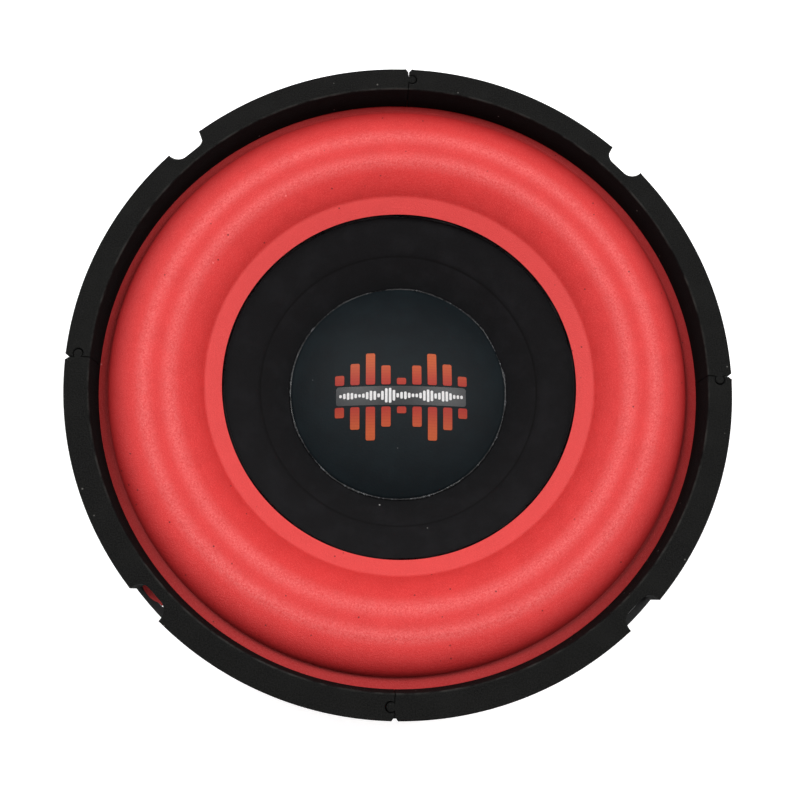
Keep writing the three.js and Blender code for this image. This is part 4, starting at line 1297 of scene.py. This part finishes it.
def magnet():
    """The ferrite ring: chamfered, a little out of round, with chips along its two outer edges."""
    low, high, bore = MAGNET_LOW[2], MAGNET_HIGH[2], 36
    section = points(
        (bore, low),
        (MAGNET_R - 1, low),
        (MAGNET_R, low + 1),
        (MAGNET_R, high - 1),
        (MAGNET_R - 1, high),
        (bore, high),
    )
    r, z = refined(rounded_line(section, 0.4, 4), 1.4).T
    angle = around(320)
    depth = (r - MAGNET_R + 0.5) / 0.5
    height = np.minimum(z - low, high - z) / 0.9
    chips = np.clip(ripple(angle, 51, 20, 150, 24) - 0.75, 0, 1)[:, None]
    chips = chips * np.exp(-(depth**2)) * np.exp(-(height**2)) * 2.2
    sway = 0.08 * ripple(angle, 52, 2, 12)[:, None] * (r > 50)
    ring = surface(polar(r - chips + sway, angle[:, None], z))
    ridden("ferrite_ring", [ring], FERRITE, "ferrite", "frame", "magnet", crease=50)


def top_plate():
    """A chamfered ring with four blind screw holes."""
    low, high = PLATE_LOW[2], PLATE_HIGH[2]
    edge, bevel = PLATE_R - 0.5, 0.5
    inner, outer = circle(GAP_R, 160), circle(edge, 200)
    holes = [circle(SCREW_HOLE_R, 24, screw_place(i)) for i in QUARTERS]
    parts = []
    for level, pierced, step in ((high, [inner, *holes], 4.0), (low, [inner], 5.0)):
        face, triangles = plate(outer, pierced, step)
        parts.append((lifted(face, level), [triangles]))
    rim = points((edge, low), (PLATE_R, low + bevel), (PLATE_R, high - bevel), (edge, high))
    parts.append(spun(rim, 200, False))
    parts.append(spun(points((GAP_R, high), (GAP_R, low)), 160, False))
    for i, hole in enumerate(holes):
        mouth = lifted(hole, high)
        floor_z = high - SCREW_HOLE_DEEP
        end = np.tile([*screw_place(i), floor_z], (len(hole), 1))
        parts.append(surface(np.stack([mouth, lifted(hole, floor_z), end]), (False, True)))
    ridden("top_plate_turning", parts, PLATED, "plated_steel", "frame", "top_plate")


def vent_screen():
    """Woven wire: each wire waves over and under the ones that cross it, in a pressed rim."""
    low, high = box("vent_screen")
    z = (low[2] + high[2]) / 2
    reach, rim = VENT_R - FIT, 0.9
    pitch, wire = 1.15, 0.2
    parts = []
    for k in range(-8, 9):
        across = k * pitch
        half = math.sqrt(max((reach - 0.4) ** 2 - across**2, 0))
        if half < 1:
            continue
        t = np.linspace(-half, half, max(int(half * 5), 8))
        wave = wire * np.cos(math.pi * t / pitch) * (-1) ** (k % 2)
        side = np.full(len(t), across)
        parts.append(tube(np.stack([t, side, z + wave], -1), wire, 6, (0, 1, 0.2)))
        parts.append(tube(np.stack([side, t, z - wave], -1), wire, 6, (1, 0, 0.2)))
    parts.append(sleeve(reach - rim, reach, z - rim / 2, z + rim / 2, 0.3, 4, 96))
    ridden("vent_mesh", parts, MESH, "vent_mesh", "frame", "vent_screen", crease=60)


def screw_part():
    """A pan-head screw with a cross recess: the head's height drops where either slot crosses."""
    under, tip = SEAT_TOP + FIT, PLATE_HIGH[2] - 6.0
    head_high, head_r, shank_r = 2.8, 4.6, 2.45
    steps = 96
    angle = around(steps)
    r = np.concatenate([np.linspace(0, 3.2, 26), np.linspace(3.4, head_r - 0.35, 8)])
    x, y = np.outer(np.cos(angle), r), np.outer(np.sin(angle), r)
    crown = under + head_high - 0.9 * (r / head_r) ** 2.6
    slots = [
        (1 - ease((np.abs(a) - 0.5) / 0.3)) * (1 - ease((np.abs(b) - 2.1) / 0.7))
        for a, b in ((x, y), (y, x))
    ]
    head = np.stack([x, y, crown - 1.5 * np.maximum(*slots)], -1)
    side = points(
        (r[-1], crown[-1]),
        (head_r, crown[-1] - 0.5),
        (head_r, under),
        (shank_r, under),
        (shank_r, tip + 0.8),
        (shank_r - 0.8, tip),
        (0, tip),
    )
    side = rounded_line(side, (0, 0.3, 0.15, 0.1, 0.2, 0.2, 0), 3, False)
    return [surface(head, (True, False)), spun(side, steps, False)]


def frame_screws():
    """Four screws, each left at its own angle."""
    for i in QUARTERS:
        parts = [moved(part, (*screw_place(i), 0), 0.5 + 1.1 * i) for part in screw_part()]
        name = f"frame_screw_{i + 1}"
        ridden(name + "_head", parts, SCREW, "screw_zinc", "frame", name, crease=38)


# ---------------------------------------------------------------- terminals
def terminal_block():
    """A moulded block: rounded sides pierced by wire holes, and a foot with two button wells.

    The sides are meshed flat on (length round the outline, height) and wrapped onto the outline.
    """
    low, high = BLOCK_LOW[2], BLOCK_HIGH[2]
    wide, deep = BLOCK_HIGH[0] - BLOCK_LOW[0], BLOCK_HIGH[1] - BLOCK_LOW[1]
    front_y = BLOCK_Y - deep / 2
    outline = refined(oblong(wide, deep, 2.0, 8, (0, BLOCK_Y)), 1.4)
    start = int(np.argmin(np.abs(outline[:, 0]) + 100 * (outline[:, 1] < BLOCK_Y)))
    outline = np.roll(outline, -start, 0)
    loop = np.concatenate([outline, outline[:1]])
    run = lengths(loop)
    front = np.flatnonzero(outline[:, 1] < front_y + 0.01)
    front = front[np.argsort(outline[front, 0])]
    wire_z = (WELL_TOP + high - 1.6) / 2
    holes = [
        circle(WIRE_HOLE_R, 24, (np.interp(x, outline[front, 0], run[front]), wire_z))
        for x in SIDES.values()
    ]
    edge = 0.6
    rows = (lifted(run[:, None], low + edge), lifted(run[::-1, None], high - edge))
    flat, triangles = plate(joined(*rows), holes, 1.5)
    x, y = (np.interp(flat[:, 0], run, side) for side in loop.T)
    parts = [(np.column_stack([x, y, flat[:, 1]]), [triangles])]

    inward = normals(outline, True) * edge
    for sign, level in ((1, high), (-1, low)):
        rings = [
            lifted(outline + inward * (1 - math.cos(a)), level - sign * edge * (1 - math.sin(a)))
            for a in np.linspace(0, math.pi / 2, 5)
        ]
        parts.append(surface(np.stack(rings), (False, True)))
        wells = [circle(WELL_R + 0.4, 40, (x, BLOCK_Y)) for x in SIDES.values()] if sign < 0 else []
        face, triangles = plate(outline + inward, rivet_holes() + wells, 2.0)
        parts.append((lifted(face, level), [triangles]))
    for hole in rivet_holes():
        parts.append(surface(np.stack([lifted(hole, low), lifted(hole, high)]), (False, True)))
    well = points(
        (WELL_R + 0.4, low),
        (WELL_R, low + 0.4),
        (WELL_R, WELL_TOP),
        (2.9, WELL_TOP),
        (2.9, high - 1.6),
        (0, high - 1.6),
    )
    for x, hole in zip(SIDES.values(), holes):
        parts.append(spun(well, 40, False, (x, BLOCK_Y)))
        px = np.interp(hole[:, 0], run, loop[:, 0])
        back = np.tile([px.mean(), front_y + WIRE_HOLE_DEEP, wire_z], (24, 1))
        rings = [np.column_stack([px, np.full(24, front_y + d), hole[:, 1]]) for d in (0, WIRE_HOLE_DEEP)]
        parts.append(surface(np.stack([*rings, back]), (False, True)))
    name = "terminal_block"
    ridden(name + "_moulding", parts, BLOCK, "block_black", "frame", name, crease=40, weld=0.01)


def push_button(side, x, finish, slot):
    """A cap on a stem. The cap's skirt carries fine upright ribs, and its foot is dished."""
    low, high = box("push_button_" + side)
    foot, top = low[2], low[2] + 6.0
    r, stem_r = high[0] - x, 2.6
    profile = points(
        (0, foot + 0.5),
        (r * 0.62, foot),
        (r, foot),
        (r, foot + 2.2),
        (r - 0.5, foot + 2.6),
        (r - 0.5, foot + 3.4),
        (r, foot + 3.8),
        (r, top),
        (stem_r, top),
        (stem_r, high[2]),
        (0, high[2]),
    )
    soft = (0, 1.0, 0.8, 0.2, 0.15, 0.15, 0.2, 0.5, 0.3, 0.5, 0)
    rr, z = resampled(rounded_line(profile, soft, 4, False), 0.6).T
    angle = around(144)[:, None]
    skirt = (rr > r - 0.15) * ease((z - foot - 0.7) / 0.5) * ease((top - 0.5 - z) / 0.4)
    ribs = 0.14 * (np.cos(36 * angle) - 1) * skirt
    cap = surface(polar(rr + ribs, angle, z, (x, BLOCK_Y)), (True, False))
    body = side + "_button"
    ridden(body + "_cap", [cap], finish, slot, body, "push_button_" + side)


def button_spring(side, x):
    """A wire coil whose end turns lie closer than the rest."""
    name = "button_spring_" + side
    low, high = box(name)
    wire, turns = 0.42, 5.0
    t = np.linspace(0, 1, 161)
    free = np.clip((t - 0.12) / 0.76, 0, 1)
    z = low[2] + wire + (high[2] - low[2] - 2 * wire) * (ease(free) * 0.35 + free * 0.65)
    path = polar(high[0] - x - wire, TAU * turns * t, z, (x, BLOCK_Y))
    spring = built(name + "_coil", [tube(path, wire, 8)], WIRE, "spring_wire", 60)
    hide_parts(name)
    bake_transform(spring)


def contact(side, x):
    """A brass strip with an eye, and the solder that holds the lead in it."""
    name = "contact_strip_" + side
    low, high = box(name)
    outline = oblong(high[0] - low[0], high[2] - low[2], 1.0, 6, (x, (low[2] + high[2]) / 2))
    flat, triangles = plate(refined(outline, 1.0), [circle(EYE_R, 24, (x, EYE_Z))], 0.9)
    faces = [np.insert(flat, 1, y, axis=1) for y in (high[1], low[1])]
    part = thickened(*faces, triangles)
    softened(ridden(name + "_brass", [part], BRASS, "contact_brass", "frame", name), 0.12)
    u, v = np.meshgrid(around(32), np.linspace(0, math.pi, 17), indexing="ij")
    lump = 1 + 0.09 * np.sin(3 * u + x) * np.sin(v) + 0.07 * np.cos(2 * v + u)
    blob = [1.9 * np.cos(u) * np.sin(v), 1.15 * np.cos(v), 1.8 * np.sin(u) * np.sin(v)]
    blob = np.stack(blob, -1) * lump[..., None] + (x, high[1] + 0.25, EYE_Z)
    ridden("solder_" + side, [surface(blob, (True, False))], SOLDER, "spring_wire", "frame", crease=80)


def under_cone(x, depth):
    """The point this far below the cone's upper face at a lead's joint, square to the wall."""
    line = cone_line(400)
    z = np.interp(JOINT_R, line[:, 0], line[:, 1])
    slope = math.atan(np.interp(JOINT_R + 0.5, *line.T) - np.interp(JOINT_R - 0.5, *line.T))
    r = JOINT_R + depth * math.sin(slope)
    return np.array([x, -math.sqrt(r**2 - x**2), z - depth * math.cos(slope)]), slope


def smooth_path(stops, steps):
    """A path through the stops: a cubic in each span, with slopes taken from the neighbours."""
    stops = np.asarray(stops, float)
    t = lengths(stops)
    slope = np.gradient(stops, t, axis=0)
    at = np.linspace(0, t[-1], steps)
    i = np.clip(np.searchsorted(t, at, "right") - 1, 0, len(t) - 2)
    h = (t[i + 1] - t[i])[:, None]
    u = (at - t[i])[:, None] / h
    start = (1 + 2 * u) * (1 - u) ** 2 * stops[i] + u * (1 - u) ** 2 * h * slope[i]
    return start + u**2 * (3 - 2 * u) * stops[i + 1] + u**2 * (u - 1) * h * slope[i + 1]


def tinsel_lead(side, x):
    """A round plaited lead: two crossing sets of helical strands stand out from its core."""
    eye = np.array([x, CONTACT_Y + 0.7, EYE_Z])
    route = points((0, 0, 0), (0, 4, 0.6), (0, 10, -0.2), (0, 16, -1.0), (0, 22, -0.4))
    face = CONE_THICK + FIT + 2.2 + FIT
    path = smooth_path([*(eye + route), under_cone(x, face + 6)[0], under_cone(x, face + 0.3)[0]], 420)
    sides, lay, strand = 24, 9.0, 0.2
    twist = TAU * lengths(path)[:, None] / lay
    left, right = (np.abs(np.sin(4 * (around(sides) + way * twist))) for way in (1, -1))
    radius = LEAD_R - strand + strand * np.maximum(left, right)
    name = "tinsel_lead_" + side
    lead = built(name + "_braid", [tube(path, radius, sides, (1, 0, 0))], BRAID, "lead_braid", 80)
    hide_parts(name)
    tuple(path[0] * MM)
    tuple(path[-1] * MM)
    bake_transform(lead)


def lead_joint(side, x):
    """A dab of cement under the cone: a low uneven dome square to the wall."""
    place, slope = under_cone(x, CONE_THICK + 0.05)
    u, v = np.meshgrid(around(48), np.linspace(0, 1, 12) * math.pi / 2, indexing="ij")
    reach = JOINT_WIDE * (1 + 0.1 * np.sin(3 * u + x) + 0.06 * np.sin(5 * u))
    dome_face = polar(reach * np.sin(v), u, -JOINT_HIGH * np.cos(v) ** 0.8)
    local = np.concatenate([dome_face, np.zeros((48, 1, 3))], 1)
    azimuth = math.atan2(place[1], place[0])
    turn = np.array(Matrix.Rotation(azimuth, 3, "Z") @ Matrix.Rotation(-slope, 3, "Y"))
    part = surface(local @ turn.T + place, (True, False))
    name = "lead_joint_" + side
    ridden(name + "_cement", [part], GLUE, "adhesive_black", "cone_assembly", name, crease=70)


def rivets():
    """Two tubular rivets: domed heads, a plain shank, and a dimple where each was closed."""
    foot, top = BLOCK_LOW[2] - FIT, LANDING_Z + FIT
    shank_r, head_r = 1.6, 2.5
    section = points(
        (0, foot - 0.7),
        (0.8, foot - 0.8),
        (1.5, foot - 1.3),
        (head_r, foot - 0.4),
        (head_r, foot),
        (shank_r, foot),
        (shank_r, top),
        (head_r, top),
        (head_r, top + 0.4),
        (1.5, top + 1.3),
        (0, top + 1.3),
    )
    section = rounded_line(section, (0, 0.3, 0.5, 0.4, 0.1, 0.1, 0.1, 0.1, 0.4, 0.9, 0), 4, False)
    for i, x in enumerate((-RIVET_X, RIVET_X)):
        name = f"terminal_rivet_{i + 1}"
        part = spun(section, 48, False, (x, BLOCK_Y))
        ridden(name + "_body", [part], PLATED, "plated_steel", "frame", name)


# ---------------------------------------------------------------- the whole speaker
gasket_segments()
surround()
cone()
dust_cap()
cap_cement()
emblem()
spider()
coil()
cement_lines()
basket()
yoke()
magnet()
top_plate()
vent_screen()
frame_screws()
terminal_block()
rivets()
CAPS = {"positive": (RED, "button_red"), "negative": (BLACK, "button_black")}
for side, x in SIDES.items():
    push_button(side, x, *CAPS[side])
    button_spring(side, x)
    contact(side, x)
    tinsel_lead(side, x)
    lead_joint(side, x)


# ---------------------------------------------------------------- floor, light and camera
def floor():
    """A plain pale floor, just under the back plate, that curves up far away into a backdrop."""
    pale = {"Base_Color": (0.93, 0.93, 0.93, 1), "Roughness": 0.7, "Specular_IOR_Level": 0.2}
    glow = {"Emission_Color": (1, 1, 1, 1), "Emission_Strength": 0.5}
    f = Finish("pale floor", **pale, **glow)
    level, flat_r, cove_wide, cove_high = -0.3, 3600, 1800, 2400
    t = np.linspace(0, math.pi / 2, 17)
    curve = np.stack([flat_r + cove_wide * np.sin(t), level + cove_high * (1 - np.cos(t))], -1)
    cove = joined((0, level), curve)
    corners, (faces,) = spun(cove, 96, False)
    mesh = bpy.data.meshes.new("floor")
    mesh.from_pydata((corners * MM).tolist(), [], faces.tolist())
    mesh.shade_smooth()
    mesh.materials.append(f.material)
    ground = bpy.data.objects.new("floor", mesh)
    bpy.context.scene.collection.objects.link(ground)


def soft_box(name, direction, distance, size, power):
    """A square area light that faces the speaker's front."""
    light = bpy.data.lights.new(name, "AREA")
    light.shape = "SQUARE"
    light.size = size
    light.energy = power
    lamp = bpy.data.objects.new(name, light)
    target = Vector((0, 0, 0.11))
    away = Vector(direction).normalized()
    lamp.location = target + away * distance
    lamp.rotation_euler = away.to_track_quat("Z", "Y").to_euler()
    bpy.context.scene.collection.objects.link(lamp)


def studio():
    """Even white surroundings and two soft boxes above the speaker."""
    world = bpy.data.worlds.new("studio")
    world.use_nodes = True
    background = world.node_tree.nodes["Background"]
    background.inputs["Color"].default_value = (1, 1, 1, 1)
    background.inputs["Strength"].default_value = 0.32
    bpy.context.scene.world = world
    soft_box("left box", (-0.39, 0.29, 0.87), 1.15, 0.5, 6.7)
    soft_box("right box", (0.49, 0.17, 0.86), 1.15, 0.5, 5.9)
    bpy.context.scene.view_settings.view_transform = "Standard"


def camera():
    """A camera above the front, rolled a little, aimed at the centre of the gasket's top."""
    azimuth, elevation, roll = (math.radians(a) for a in (-7.78, 75.79, 9.27))
    aim, distance = Vector((0, 0, TOP_Z * MM)), 0.3536
    level = math.cos(elevation)
    back = Vector((math.sin(azimuth) * level, -math.cos(azimuth) * level, math.sin(elevation)))
    flat_x = Vector((0, 0, 1)).cross(back).normalized()
    flat_y = back.cross(flat_x)
    x_axis = flat_x * math.cos(roll) + flat_y * math.sin(roll)
    y_axis = flat_y * math.cos(roll) - flat_x * math.sin(roll)
    lens = bpy.data.cameras.new("camera")
    lens.lens = 41.175
    lens.sensor_width = 36
    lens.shift_x = -0.003
    lens.shift_y = -0.042
    lens.clip_start = 0.01
    lens.clip_end = 50
    holder = bpy.data.objects.new("camera", lens)
    place = aim + back * distance
    turn = Matrix((x_axis, y_axis, back)).transposed()
    holder.matrix_world = Matrix.Translation(place) @ turn.to_4x4()
    bpy.context.scene.collection.objects.link(holder)
    bpy.context.scene.camera = holder


floor()
studio()
camera()
